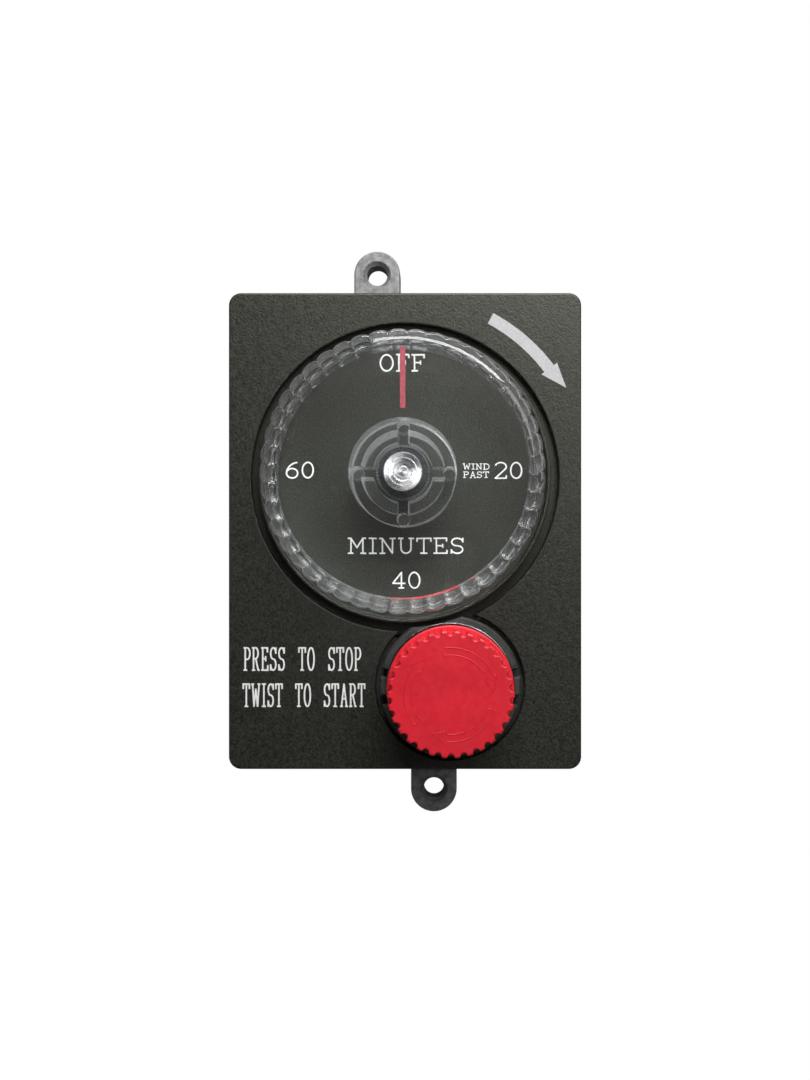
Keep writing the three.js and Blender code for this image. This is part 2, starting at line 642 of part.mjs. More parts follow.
// ---------------------------------------------------------------- clockwork, about the dial's axis
function movementPlate({ back, front }, centreHole, extras = []) {
  const { left, right, bottom, top, corner } = MOVEMENT;
  const pivots = [secondAt, thirdAt, escapeAt, palletAt].map(({ x, y: z }) =>
    circle(STAFF.pivot + RUN, SIDES.screw, x, z));
  const screws = pillarPlaces.map(({ x, y: z }) => circle(SCREW.shank + 2 * RUN, SIDES.screw, x, z));
  const holes = [circle(centreHole, SIDES.medium), ...pivots, ...screws, ...extras];
  return prism(rectangle(left, right, bottom, top, corner), back, front, holes);
}

function arborBush() {
  const bore = ARBOR.radius + RUN;
  return turned([
    [bore, FRONT_PLATE.back],
    [BUSH.radius, FRONT_PLATE.back],
    [BUSH.radius, FRONT_PLATE.front + GAP],
    [BUSH.flange, FRONT_PLATE.front + GAP],
    [BUSH.flange, BUSH.front],
    [bore, BUSH.front],
  ]);
}

function springBarrel() {
  const { radius, wall, floor, front, back, play } = BARREL;
  return turned([
    [ARBOR.collar + play, front],
    [radius, front],
    [radius, back],
    [radius - wall, back],
    [radius - wall, floor],
    [ARBOR.collar + play, floor],
  ], SIDES.large);
}

// A flat spiral that fills the barrel from the arbor's collar to its wall.
function mainspring() {
  const { turns, perTurn, strip, back, front } = MAINSPRING;
  const inner = ARBOR.collar + 3 * GAP;
  const outer = BARREL.radius - BARREL.wall - strip - 3 * GAP;
  const along = (start) => Array.from({ length: turns * perTurn + 1 }, (_, i) => {
    const t = i / (turns * perTurn);
    return polar(start + (outer - inner) * t, t * turns * TURN);
  });
  return prism([...along(inner), ...along(inner + strip).reverse()], back, front);
}

// An annular cam whose back face rises evenly as it goes round, then falls back.
function valveCam() {
  const { inner, outer, front, back, lift, sweep, end } = CAM;
  const spider = washer(ARBOR.pivot + RUN, inner + PAST, back, front);
  const profile = [[inner, back], [outer, back], [outer, front], [inner, front], [inner, back]];
  const ramp = new THREE.LatheGeometry(profile.map(([r, h]) => new THREE.Vector2(r, -h)), SIDES.dial);
  const position = ramp.getAttribute("position");
  for (let i = 0; i < position.count; i++) {
    if (position.getY(i) < -back - 0.1) continue;
    const angle = THREE.MathUtils.radToDeg(Math.atan2(position.getZ(i), position.getX(i)));
    const round = (angle + 360) % 360;
    const rise = round <= sweep ? round / sweep : Math.max(0, (end - round) / (end - sweep));
    position.setY(i, position.getY(i) + lift * rise);
  }
  return solid(ramp).add(spider);
}

function escapeWheel() {
  const { teeth, radius, root, front, back } = ESCAPE;
  const outline = Array.from({ length: teeth }, (_, k) => {
    const a = (k / teeth) * TURN;
    const pitch = TURN / teeth;
    return [polar(root, a), polar(radius, a + 0.42 * pitch), polar(radius, a + 0.52 * pitch)];
  }).flat();
  return prism(outline, back, front, [circle(STAFF.radius + RUN, SIDES.screw)]);
}

// The rocking anchor: a hub, two arms that straddle the escape wheel, and a weighted tail.
function palletLever() {
  const { distance, gap, spread, hub, arm, tail, front, back } = PALLET;
  const { pivot, inset } = STAFF;
  const reach = ESCAPE.radius + gap;
  const arms = [-1, 1].map((side) => {
    const near = polar(reach, degrees(side * spread), -distance, 0);
    const far = polar(reach + arm, degrees(side * spread), -distance, 0);
    return prism([near, far, polar(hub, degrees(side * 90)), polar(hub, Math.PI)], back, front);
  });
  const weight = prism(rectangle(0, tail, -arm, arm, arm - GAP, 2), back, front);
  const arbor = turned([
    [0, REAR_PLATE.back + inset],
    [pivot, REAR_PLATE.back + inset],
    [pivot, FRONT_PLATE.front - inset],
    [0, FRONT_PLATE.front - inset],
  ], SIDES.screw);
  return disc(hub, back, front, SIDES.small).add(arms[0]).add(arms[1]).add(weight).add(arbor);
}

// ---------------------------------------------------------------- materials
const paint = (color, roughness, metalness = 0) => () =>
  new THREE.MeshStandardMaterial({ color, roughness, metalness });
const blackPowder = paint(0x33332f, 0.6, 0.3);
const blackPlastic = paint(0x242422, 0.55);
const redPlastic = paint(0xd62f3c, 0.5);
const brass = paint(0xb5963f, 0.35, 1);
const steel = paint(0x9a9a98, 0.35, 1);
const chrome = paint(0xd8d8d8, 0.12, 1);
const castAlloy = paint(0x8a8a8a, 0.55, 0.9);
const rubber = paint(0x151515, 0.9);
const clear = () => new THREE.MeshStandardMaterial({
  color: 0xdfe3e6,
  roughness: 0.08,
  transparent: true,
  opacity: 0.35,
});

// ---------------------------------------------------------------- assembly
const timer = new THREE.Group();
const dialAxis = new THREE.Group();
const stopAxis = new THREE.Group();
dialAxis.position.set(DIAL.x, 0, DIAL.z);
stopAxis.position.set(STOP.x, 0, STOP.z);
timer.add(dialAxis, stopAxis);

function place(parent, name, made, material, x = 0, z = 0, h = 0) {
  const mesh = new THREE.Mesh(geometryOf(made), material());
  mesh.name = name;
  mesh.position.set(x, -h, z);
  parent.add(mesh);
  return mesh;
}

place(timer, "face_plate", facePlate(), blackPowder);
place(timer, "valve_body", valveBody(), castAlloy);
place(timer, "rear_gasket", rearGasket(), rubber);
place(timer, "rear_cover", rearCover(), castAlloy);
coverScrewPlaces.forEach(({ x, y: z }, i) => {
  const mesh = place(timer, `cover_screw_${i + 1}`, screw(COVER_SCREW), steel, x, z, coverRim - GAP);
  mesh.rotation.z = Math.PI;
});
plateBossPlaces.forEach(({ x, y: z }, i) => {
  const at = PLATE_BOSS.counterbore - GAP;
  const mesh = place(timer, `plate_screw_${i + 1}`, screw(PLATE_SCREW), steel, x, z, at);
  mesh.rotation.z = Math.PI;
});
for (const [name, side, z] of [["inlet_adapter", -1, PORT.inlet], ["outlet_adapter", 1, PORT.outlet]]) {
  const mesh = place(timer, name, portAdapter(), brass, side * (PORT.reach + 3 * GAP), z, PORT.depth);
  mesh.rotation.z = (side * Math.PI) / 2;
}

place(dialAxis, "dial_cup", dialCup(), blackPowder);
place(dialAxis, "dial_knob", dialKnob(), clear);
place(dialAxis, "knob_insert", knobInsert(), chrome);
place(dialAxis, "dial_arbor", dialArbor(), steel);
place(dialAxis, "arbor_bush", arborBush(), brass);
const dialScrewHoles = dialScrewPlaces.map(({ x, y: z }) => circle(SCREW.shank + 2 * RUN, SIDES.screw, x, z));
const frontPlate = movementPlate(FRONT_PLATE, FRONT_PLATE.hole, dialScrewHoles);
place(dialAxis, "movement_front_plate", frontPlate, brass);
place(dialAxis, "movement_rear_plate", movementPlate(REAR_PLATE, ARBOR.radius + RUN), brass);
pillarPlaces.forEach(({ x, y: z }, i) => {
  const [back, front] = [REAR_PLATE.front + GAP, FRONT_PLATE.back - GAP];
  const pillar = washer(SCREW.shank + RUN, MOVEMENT.pillarRadius, back, front, SIDES.screw);
  place(dialAxis, `movement_pillar_${i + 1}`, pillar, brass, x, z);
  place(dialAxis, `movement_screw_${i + 1}`, screw(MOVEMENT_SCREW), steel, x, z, FRONT_PLATE.front + GAP);
});
dialScrewPlaces.forEach(({ x, y: z }, i) => {
  const mesh = place(dialAxis, `dial_screw_${i + 1}`, screw(DIAL_SCREW), steel, x, z, FRONT_PLATE.back - GAP);
  mesh.rotation.z = Math.PI;
});
place(dialAxis, "spring_barrel", springBarrel(), steel);
place(dialAxis, "mainspring", mainspring(), steel);
place(dialAxis, "main_wheel", wheel(MAIN, phases.main, ARBOR.radius + RUN, 5), brass);
place(dialAxis, "valve_cam", valveCam(), steel);

// The train: each pinion is driven by the wheel before it and carries the wheel after it.
const train = [
  ["second", secondAt, MAIN.module, wheel(SECOND, phases.second, STAFF.radius + RUN, 4)],
  ["third", thirdAt, SECOND.module, wheel(THIRD, phases.third, STAFF.radius + RUN, 4)],
  ["escape", escapeAt, THIRD.module, escapeWheel()],
];
for (const [name, at, module, driven] of train) {
  place(dialAxis, `${name}_pinion`, pinion(module, phases[name], PINION[name]), steel, at.x, at.y);
  place(dialAxis, `${name}_wheel`, driven, brass, at.x, at.y);
}
place(dialAxis, "pallet_lever", palletLever(), steel, palletAt.x, palletAt.y).rotation.y = -bearing.pallet;

// The timer's valve stands beside the dial's axis, under the cam.
const pin = TIMER_PIN;
const pinHole = pin.radius + RUN;
const timerPin = disc(pin.radius, pin.back, pin.front, SIDES.small);
const timerSeal = washer(pinHole, TIMER_VALVE.radius, TIMER_VALVE.sealBack, TIMER_VALVE.seal);
const timerDisc = washer(pinHole, TIMER_VALVE.radius, TIMER_VALVE.discBack, TIMER_VALVE.disc);
const timerOring = washer(pinHole, TIMER_ORING.radius, TIMER_ORING.back, TIMER_ORING.front, SIDES.small);
const timerSpring = coil({ ...TIMER_SPRING, back: coverFront + GAP, front: TIMER_VALVE.discBack - GAP });
place(dialAxis, "timer_valve_pin", timerPin, steel, STOP.x);
place(dialAxis, "timer_valve_seal", timerSeal, rubber, STOP.x);
place(dialAxis, "timer_valve_disc", timerDisc, brass, STOP.x);
place(dialAxis, "timer_pin_oring", timerOring, rubber, STOP.x);
place(dialAxis, "timer_valve_spring", timerSpring, steel, STOP.x);

const nutBack = COLLAR.front + GAP;
const bushing = washer(STEM.radius + RUN, BUSHING.radius, BUSHING.back, BUSHING.front);
const ringNut = washer(BUSHING.radius + GAP, RING_NUT.radius, nutBack, RING_NUT.front, SIDES.large);
const latchRing = washer(LATCH_RING.inner, LATCH_RING.outer, LATCH_RING.back, HEAD_HOLLOW.ceiling - GAP);
const stemOring = washer(STEM_GROOVE.radius + RUN, STEM.radius, STOP_ORING.back, STOP_ORING.front);
const stopDisc = washer(STEM.end + RUN, STOP_VALVE.radius, STOP_VALVE.discBack, STOP_VALVE.disc);
const stopSeal = washer(STEM.end + RUN, STOP_VALVE.radius, STOP_VALVE.sealBack, STOP_VALVE.seal);
const returnSpring = coil({
  ...RETURN_SPRING,
  back: BUSHING.front + GAP,
  front: HEAD_HOLLOW.ceiling - GAP,
});
place(stopAxis, "estop_collar", stopCollar(), blackPlastic);
place(stopAxis, "estop_bushing", bushing, brass);
place(stopAxis, "estop_ring_nut", ringNut, chrome);
place(stopAxis, "estop_head", stopHead(), redPlastic);
place(stopAxis, "estop_latch_ring", latchRing, blackPlastic);
place(stopAxis, "estop_stem", stopStem(), steel);
place(stopAxis, "estop_stem_oring", stemOring, rubber);
place(stopAxis, "estop_valve_disc", stopDisc, brass);
place(stopAxis, "estop_valve_seal", stopSeal, rubber);
place(stopAxis, "estop_return_spring", returnSpring, steel);

export default timer;
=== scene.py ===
"""A sixty-minute clockwork gas timer with an emergency stop: its looks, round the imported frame.

Shapes are written in millimetres in the CAD frame: +X is right and +Z is up, seen from the front.
Depth is h, the distance in front of the panel's face, so a point at depth h has y = -h.
"""

import json
import math

import bmesh
import bpy
from mathutils import Matrix, Vector
from mathutils.geometry import delaunay_2d_cdt


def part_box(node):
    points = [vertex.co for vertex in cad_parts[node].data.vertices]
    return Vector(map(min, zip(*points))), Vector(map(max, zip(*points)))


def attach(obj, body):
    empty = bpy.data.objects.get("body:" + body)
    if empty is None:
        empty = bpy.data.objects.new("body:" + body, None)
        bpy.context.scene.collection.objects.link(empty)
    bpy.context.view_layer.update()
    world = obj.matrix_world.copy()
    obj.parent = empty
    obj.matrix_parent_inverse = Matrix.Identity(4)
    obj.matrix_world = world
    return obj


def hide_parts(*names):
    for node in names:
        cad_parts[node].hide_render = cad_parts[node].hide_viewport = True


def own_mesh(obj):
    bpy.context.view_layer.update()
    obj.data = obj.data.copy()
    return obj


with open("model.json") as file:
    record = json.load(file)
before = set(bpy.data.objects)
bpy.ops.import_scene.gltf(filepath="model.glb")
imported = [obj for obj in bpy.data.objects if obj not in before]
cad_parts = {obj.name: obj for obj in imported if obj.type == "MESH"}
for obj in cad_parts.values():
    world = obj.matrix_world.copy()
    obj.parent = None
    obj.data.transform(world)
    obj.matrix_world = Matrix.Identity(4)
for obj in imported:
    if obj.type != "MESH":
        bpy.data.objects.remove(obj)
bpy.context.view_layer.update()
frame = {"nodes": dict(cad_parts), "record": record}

MM = 0.001
TURN = 2 * math.pi


class Box:
    """A CAD node's box at rest, in millimetres."""

    def __init__(self, node):
        low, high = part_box(node)
        self.left, self.right = low.x / MM, high.x / MM
        self.bottom, self.top = low.z / MM, high.z / MM
        self.front, self.back = -low.y / MM, -high.y / MM
        self.x = (self.left + self.right) / 2
        self.z = (self.bottom + self.top) / 2
        self.radius = (self.right - self.left) / 2


PLATE = Box("face_plate")
CUP = Box("dial_cup")
KNOB = Box("dial_knob")
INSERT = Box("knob_insert")
BACK = Box("rear_cover")
GASKET = Box("rear_gasket")
COLLAR = Box("estop_collar")
RING = Box("estop_ring_nut")
HEAD = Box("estop_head")
DIAL_AXIS = (INSERT.x, INSERT.z)
STOP_AXIS = (HEAD.x, HEAD.z)


# ---- outlines, [x, z] in millimetres
def polar(r, angle, centre=(0, 0)):
    return (centre[0] + r * math.cos(angle), centre[1] + r * math.sin(angle))


def arc(r, start, end, count, centre=(0, 0)):
    """Points along an arc, with both ends."""
    return [polar(r, start + (end - start) * i / count, centre) for i in range(count + 1)]


def circle(r, count=96, centre=(0, 0)):
    return arc(r, 0, TURN, count, centre)[:-1]


def rounded_rectangle(half_width, half_height, corner, middle=(0, 0), count=10):
    points = []
    for k, (sx, sz) in enumerate([(1, 1), (-1, 1), (-1, -1), (1, -1)]):
        centre = (middle[0] + sx * (half_width - corner), middle[1] + sz * (half_height - corner))
        points += arc(corner, k * TURN / 4, (k + 1) * TURN / 4, count, centre)
    return points


def obround(half, x, bottom, top, count=24):
    """A slot's outline: half circles at two heights, joined by straight sides."""
    return arc(half, 0, TURN / 2, count, (x, top)) + arc(half, TURN / 2, TURN, count, (x, bottom))


def merged_circles(a, radius_a, b, radius_b, count=72):
    """The outline round two circles that overlap."""
    along = math.atan2(b[1] - a[1], b[0] - a[0])
    apart = math.dist(a, b)
    reach = (apart**2 + radius_a**2 - radius_b**2) / (2 * apart)
    half_a = math.acos(reach / radius_a)
    half_b = math.acos((apart - reach) / radius_b)
    first = arc(radius_a, along + half_a, along + TURN - half_a, count, a)
    back = along + math.pi
    second = arc(radius_b, back + half_b, back + TURN - half_b, count, b)
    return first[:-1] + second[:-1]


# ---- meshes
def linked(name, data):
    """A new object in the scene."""
    obj = bpy.data.objects.new(name, data)
    bpy.context.scene.collection.objects.link(obj)
    return obj


def mesh_object(name, points, faces):
    """A mesh from [x, h, z] points in millimetres."""
    mesh = bpy.data.meshes.new(name)
    mesh.from_pydata([(x * MM, -h * MM, z * MM) for x, h, z in points], [], faces)
    mesh.validate()
    made = bmesh.new()
    made.from_mesh(mesh)
    bmesh.ops.remove_doubles(made, verts=made.verts, dist=1e-7)
    bmesh.ops.recalc_face_normals(made, faces=made.faces)
    made.to_mesh(mesh)
    made.free()
    return linked(name, mesh)


def loft(name, levels):
    """A closed solid through outlines with equal numbers of points, each at its own depth."""
    count = len(levels[0][0])
    points = [(x, h, z) for outline, h in levels for x, z in outline]
    faces = []
    for k in range(len(levels) - 1):
        for i in range(count):
            a = k * count + i
            b = k * count + (i + 1) % count
            faces.append((a, b, b + count, a + count))
    faces.append(tuple(range(count)))
    faces.append(tuple(range((len(levels) - 1) * count, len(levels) * count)))
    return mesh_object(name, points, faces)


def turned(name, profile, centre=(0, 0), count=128):
    """A turned solid about a line along Y.

    The profile is [radius, h] pairs: a closed loop, or a line from the axis back to the axis.
    """
    points = []
    rings = []
    for r, h in profile:
        if r == 0:
            rings.append([len(points)] * count)
            points.append((centre[0], h, centre[1]))
        else:
            rings.append(list(range(len(points), len(points) + count)))
            points += [(x, h, z) for x, z in circle(r, count, centre)]
    if profile[0][0] != 0:
        rings.append(rings[0])
    faces = []
    for ring, after in zip(rings, rings[1:]):
        for i in range(count):
            j = (i + 1) % count
            corners = dict.fromkeys((ring[i], ring[j], after[j], after[i]))
            if len(corners) > 2:
                faces.append(tuple(corners))
    return mesh_object(name, points, faces)


def rounded(profile, radius, steps=4):
    """A [radius, h] profile with each corner away from the axis rounded."""
    made = []
    count = len(profile)
    for i, corner in enumerate(profile):
        if corner[0] == 0:
            made.append(corner)
            continue
        here = Vector(corner)
        before = Vector(profile[i - 1]) - here
        after = Vector(profile[(i + 1) % count]) - here
        cut = min(radius, before.length * 0.45, after.length * 0.45)
        start = here + before.normalized() * cut
        end = here + after.normalized() * cut
        for k in range(steps + 1):
            t = k / steps
            point = start * (1 - t) ** 2 + here * 2 * t * (1 - t) + end * t**2
            made.append((point.x, point.y))
    return made


def mesh_of_curve(curve, paths, cyclic):
    """The mesh that a curve makes along these paths."""
    for points in paths:
        spline = curve.splines.new("POLY")
        spline.points.add(len(points) - 1)
        for target, point in zip(spline.points, points):
            target.co = (*point, 1)
        spline.use_cyclic_u = cyclic
    scratch = linked(curve.name, curve)
    bpy.context.view_layer.update()
    mesh = bpy.data.meshes.new_from_object(scratch)
    bpy.data.objects.remove(scratch)
    return mesh


def slab(name, outline, holes, back, front, edge, steps=3):
    """A plate with rounded edges. outline and holes are functions of an inset from their real size."""
    curve = bpy.data.curves.new(name, "CURVE")
    curve.dimensions = "2D"
    curve.fill_mode = "BOTH"
    curve.extrude = (front - back) / 2 - edge
    curve.bevel_depth = edge
    curve.bevel_resolution = steps
    outlines = [outline(edge), *[hole(-edge) for hole in holes]]
    mesh = mesh_of_curve(curve, [[(x, z, 0) for x, z in points] for points in outlines], True)
    middle = (front + back) / 2
    points = [(v.co.x, middle + v.co.z, v.co.y) for v in mesh.vertices]
    faces = [tuple(p.vertices) for p in mesh.polygons]
    return mesh_object(name, points, faces)


def applied(obj):
    """obj with its modifiers applied to its mesh."""
    bpy.context.view_layer.update()
    evaluated = obj.evaluated_get(bpy.context.evaluated_depsgraph_get())
    mesh = bpy.data.meshes.new_from_object(evaluated)
    obj.modifiers.clear()
    obj.data = mesh
    return obj


def carve(obj, tool, operation="DIFFERENCE"):
    """obj with tool cut out of it or joined to it. tool is used up."""
    modifier = obj.modifiers.new("cut", "BOOLEAN")
    modifier.object = tool
    modifier.operation = operation
    modifier.solver = "EXACT"
    applied(obj)
    bpy.data.objects.remove(tool)
    return obj


def quarter_turn(steps):
    return [TURN / 4 * i / steps for i in range(steps + 1)]


def back_edge(outline, edge, back, steps):
    """Loft levels that round the back edge of an outline, which is a function of its inset."""
    return [
        (outline(edge * (1 - math.sin(a))), back + edge * (1 - math.cos(a)))
        for a in quarter_turn(steps)
    ]


def soft_block(name, middle, half, corner, back, front, edge, steps=5):
    """A block with round corners, and with its front and back edges rounded."""
    def outline(inset):
        return rounded_rectangle(half[0] - inset, half[1] - inset, corner - inset, middle)

    levels = back_edge(outline, edge, back, steps)
    for a in quarter_turn(steps):
        levels.append((outline(edge * (1 - math.cos(a))), front - edge * (1 - math.sin(a))))
    return loft(name, levels)


def sideways(obj, side, h, z):
    """A piece made about the Y axis, turned to point along X: its depths become distances out from x = 0."""
    turn = Matrix.Rotation(side * TURN / 4, 4, "Z")
    obj.data.transform(Matrix.Translation((0, -h * MM, z * MM)) @ turn)
    return obj


def round_holes(name, holes, count=48):
    """Cutters for round holes, each given as x, z, radius, back and front."""
    discs = [
        turned(name, [(0, back), (r, back), (r, front), (0, front)], (x, z), count)
        for x, z, r, back, front in holes
    ]
    return joined(name, discs)


def joined(name, pieces):
    """One object that holds several closed shells."""
    made = bmesh.new()
    for piece in pieces:
        made.from_mesh(piece.data)
        bpy.data.objects.remove(piece)
    mesh = bpy.data.meshes.new(name)
    made.to_mesh(mesh)
    made.free()
    return linked(name, mesh)


def smooth(obj, angle=35):
    """Round faces shade smoothly, and big flat ones stay flat."""
    for polygon in obj.data.polygons:
        polygon.use_smooth = True
    obj.data.set_sharp_from_angle(angle=math.radians(angle))
    modifier = obj.modifiers.new("normals", "WEIGHTED_NORMAL")
    modifier.keep_sharp = True
    return applied(obj)


def tube(name, points, radius, sides=10, cyclic=False):
    """A round wire along [x, h, z] points in millimetres."""
    curve = bpy.data.curves.new(name, "CURVE")
    curve.dimensions = "3D"
    curve.bevel_depth = radius * MM
    curve.bevel_resolution = max(sides // 4, 1)
    curve.use_fill_caps = True
    path = [(x * MM, -h * MM, z * MM) for x, h, z in points]
    return linked(name, mesh_of_curve(curve, [path], cyclic))


# ---- materials
class Shader:
    """A Principled material, with helpers that add procedural variation."""

    def __init__(self, name, colour, roughness, metallic=0.0, **sockets):
        self.material = bpy.data.materials.new(name)
        self.material.use_nodes = True
        self.nodes = self.material.node_tree.nodes
        self.links = self.material.node_tree.links
        self.principled = self.nodes["Principled BSDF"]
        self.principled.inputs["Base Color"].default_value = (*colour, 1)
        self.principled.inputs["Roughness"].default_value = roughness
        self.principled.inputs["Metallic"].default_value = metallic
        for socket, value in sockets.items():
            self.principled.inputs[socket.replace("_", " ")].default_value = value
        self.colour = colour
        self.place = self.nodes.new("ShaderNodeTexCoord").outputs["Object"]

    def noise(self, size, detail=2.0, stretch=(1, 1, 1)):
        """A noise whose grains are about size millimetres."""
        mapping = self.nodes.new("ShaderNodeMapping")
        mapping.inputs["Scale"].default_value = [s / (size * MM) for s in stretch]
        texture = self.nodes.new("ShaderNodeTexNoise")
        texture.inputs["Scale"].default_value = 1
        texture.inputs["Detail"].default_value = detail
        self.links.new(self.place, mapping.inputs["Vector"])
        self.links.new(mapping.outputs["Vector"], texture.inputs["Vector"])
        return texture.outputs["Fac"]

    def ramp(self, source, low, high, start=0.35, end=0.65):
        """Colours from low to high as source goes from start to end."""
        ramp = self.nodes.new("ShaderNodeValToRGB")
        ramp.color_ramp.elements[0].position = start
        ramp.color_ramp.elements[1].position = end
        ramp.color_ramp.elements[0].color = (*low, 1)
        ramp.color_ramp.elements[1].color = (*high, 1)
        self.links.new(source, ramp.inputs["Fac"])
        return ramp.outputs["Color"]

    def vary_colour(self, source, darkest, lightest, start=0.35, end=0.65):
        low = [c * darkest for c in self.colour]
        high = [min(c * lightest, 1) for c in self.colour]
        self.links.new(self.ramp(source, low, high, start, end), self.principled.inputs["Base Color"])
        return self

    def vary_roughness(self, source, low, high, start=0.35, end=0.65):
        grey = self.ramp(source, [low] * 3, [high] * 3, start, end)
        self.links.new(grey, self.principled.inputs["Roughness"])
        return self

    def bump(self, source, depth, strength=1.0):
        """Relief of about depth millimetres."""
        node = self.nodes.new("ShaderNodeBump")
        node.inputs["Strength"].default_value = strength
        node.inputs["Distance"].default_value = depth * MM
        self.links.new(source, node.inputs["Height"])
        if self.principled.inputs["Normal"].is_linked:
            before = self.principled.inputs["Normal"].links[0].from_socket
            self.links.new(before, node.inputs["Normal"])
        self.links.new(node.outputs["Normal"], self.principled.inputs["Normal"])
        return self


def powder_coat():
    shader = Shader("black_powder_coat", (0.011, 0.0113, 0.0092), 0.38)
    shader.principled.inputs["Specular Tint"].default_value = (1, 1, 0.88, 1)
    grain = shader.noise(0.6, 3)
    shader.vary_colour(grain, 0.3, 2.6, 0.3, 0.7)
    shader.vary_roughness(shader.noise(1.3, 2), 0.34, 0.45)
    shader.bump(grain, 0.085)
    return shader.bump(shader.noise(3, 1), 0.018).material


def moulded_black():
    shader = Shader("moulded_black_plastic", (0.030, 0.031, 0.027), 0.5)
    shader.vary_colour(shader.noise(6, 3), 0.8, 1.25)
    shader.vary_roughness(shader.noise(1.2, 3), 0.42, 0.6)
    return shader.bump(shader.noise(0.35, 2), 0.02).material


def moulded_red():
    shader = Shader("moulded_red_plastic", (0.66, 0.012, 0.026), 0.5)
    shader.vary_colour(shader.noise(9, 3), 0.93, 1.06)
    shader.vary_roughness(shader.noise(1.5, 3), 0.36, 0.48)
    return shader.bump(shader.noise(0.3, 2), 0.012).material


def split_by_ray(tree, ray, special, usual, output):
    """Rays of one kind meet the special shader, and all the others meet the usual one."""
    path = tree.nodes.new("ShaderNodeLightPath")
    mix = tree.nodes.new("ShaderNodeMixShader")
    tree.links.new(path.outputs[ray], mix.inputs["Fac"])
    tree.links.new(usual, mix.inputs[1])
    tree.links.new(special, mix.inputs[2])
    tree.links.new(mix.outputs["Shader"], tree.nodes[output].inputs["Surface"])


def let_lamps_through(shader, steepness, wall, face):
    """Shadow rays pass straight through, and lose more light in the walls than in the polished faces."""
    clear = shader.nodes.new("ShaderNodeBsdfTransparent")
    tint = shader.ramp(steepness, [0.78] * 3, [0.95, 0.96, 0.96], wall, face)
    shader.links.new(tint, clear.inputs["Color"])
    usual = shader.principled.outputs["BSDF"]
    tree = shader.material.node_tree
    split_by_ray(tree, "Is Shadow Ray", clear.outputs["BSDF"], usual, "Material Output")


def clear_plastic(name, wall_clarity, face_clarity):
    """Polished on the faces that look forwards or backwards, and a little cloudy on the walls between."""
    shader = Shader(name, (0.93, 0.945, 0.95), 0.03, Transmission_Weight=1.0, IOR=1.49)
    facing = shader.nodes.new("ShaderNodeSeparateXYZ")
    texture = shader.nodes.new("ShaderNodeTexCoord")
    steepness = shader.nodes.new("ShaderNodeMath")
    steepness.operation = "ABSOLUTE"
    shader.links.new(texture.outputs["Normal"], facing.inputs["Vector"])
    shader.links.new(facing.outputs["Y"], steepness.inputs[0])
    wall, face = 0.25, 0.8
    clarity = shader.ramp(steepness.outputs["Value"], [wall_clarity] * 3, [face_clarity] * 3, wall, face)
    shader.links.new(clarity, shader.principled.inputs["Transmission Weight"])
    polish = shader.ramp(steepness.outputs["Value"], [0.2] * 3, [0.02] * 3, wall, face)
    shader.links.new(polish, shader.principled.inputs["Roughness"])
    shader.bump(shader.noise(7, 1), 0.05)
    let_lamps_through(shader, steepness.outputs["Value"], wall, face)
    return shader.material


def ink(name, colour, grain, darkest, lightest):
    shader = Shader(name, colour, 0.6)
    shader.vary_colour(shader.noise(grain, 3), darkest, lightest)
    return shader.bump(shader.noise(0.4, 2), 0.01).material


def cast_alloy():
    shader = Shader("cast_alloy", (0.22, 0.22, 0.224), 0.5, 0.35)
    shader.vary_colour(shader.noise(2.2, 5), 0.7, 1.3)
    shader.vary_roughness(shader.noise(0.9, 4), 0.45, 0.65)
    shader.bump(shader.noise(0.7, 3), 0.09)
    return shader.bump(shader.noise(4, 2), 0.05).material


def rolled_brass():
    shader = Shader("rolled_brass", (0.60, 0.43, 0.17), 0.32, 1.0)
    shader.vary_colour(shader.noise(5, 4), 0.8, 1.12)
    shader.vary_roughness(shader.noise(2.2, 4), 0.24, 0.42)
    return shader.bump(shader.noise(0.5, 2, (0.08, 1, 1)), 0.012).material


def plated_steel():
    shader = Shader("zinc_plated_steel", (0.52, 0.52, 0.52), 0.3, 1.0)
    shader.vary_colour(shader.noise(3, 4), 0.88, 1.08)
    shader.vary_roughness(shader.noise(1.2, 4), 0.26, 0.38)
    return shader.bump(shader.noise(0.3, 2), 0.008).material


def spring_wire():
    shader = Shader("spring_wire", (0.36, 0.36, 0.38), 0.26, 1.0)
    shader.vary_colour(shader.noise(2, 3), 0.8, 1.2)
    return shader.vary_roughness(shader.noise(0.8, 3), 0.2, 0.4).material


def turned_chrome():
    """Bright metal with the rings that a lathe leaves."""
    shader = Shader("turned_chrome", (0.80, 0.80, 0.81), 0.28, 1.0, Anisotropic=0.92)
    tangent = shader.nodes.new("ShaderNodeTangent")
    tangent.direction_type = "RADIAL"
    tangent.axis = "Y"
    shader.links.new(tangent.outputs["Tangent"], shader.principled.inputs["Tangent"])
    shader.vary_colour(shader.noise(0.6, 2), 0.94, 1.04)
    return shader.vary_roughness(shader.noise(0.5, 2), 0.26, 0.31).material


def dark_steel():
    shader = Shader("dark_polished_steel", (0.30, 0.30, 0.31), 0.14, 1.0)
    shader.vary_colour(shader.noise(2, 3), 0.85, 1.1)
    return shader.vary_roughness(shader.noise(0.8, 3), 0.11, 0.2).material


def matt_rubber():
    shader = Shader("matt_rubber", (0.02, 0.02, 0.02), 0.8)
    shader.vary_colour(shader.noise(4, 3), 0.8, 1.4)
    return shader.bump(shader.noise(0.4, 3), 0.02).material


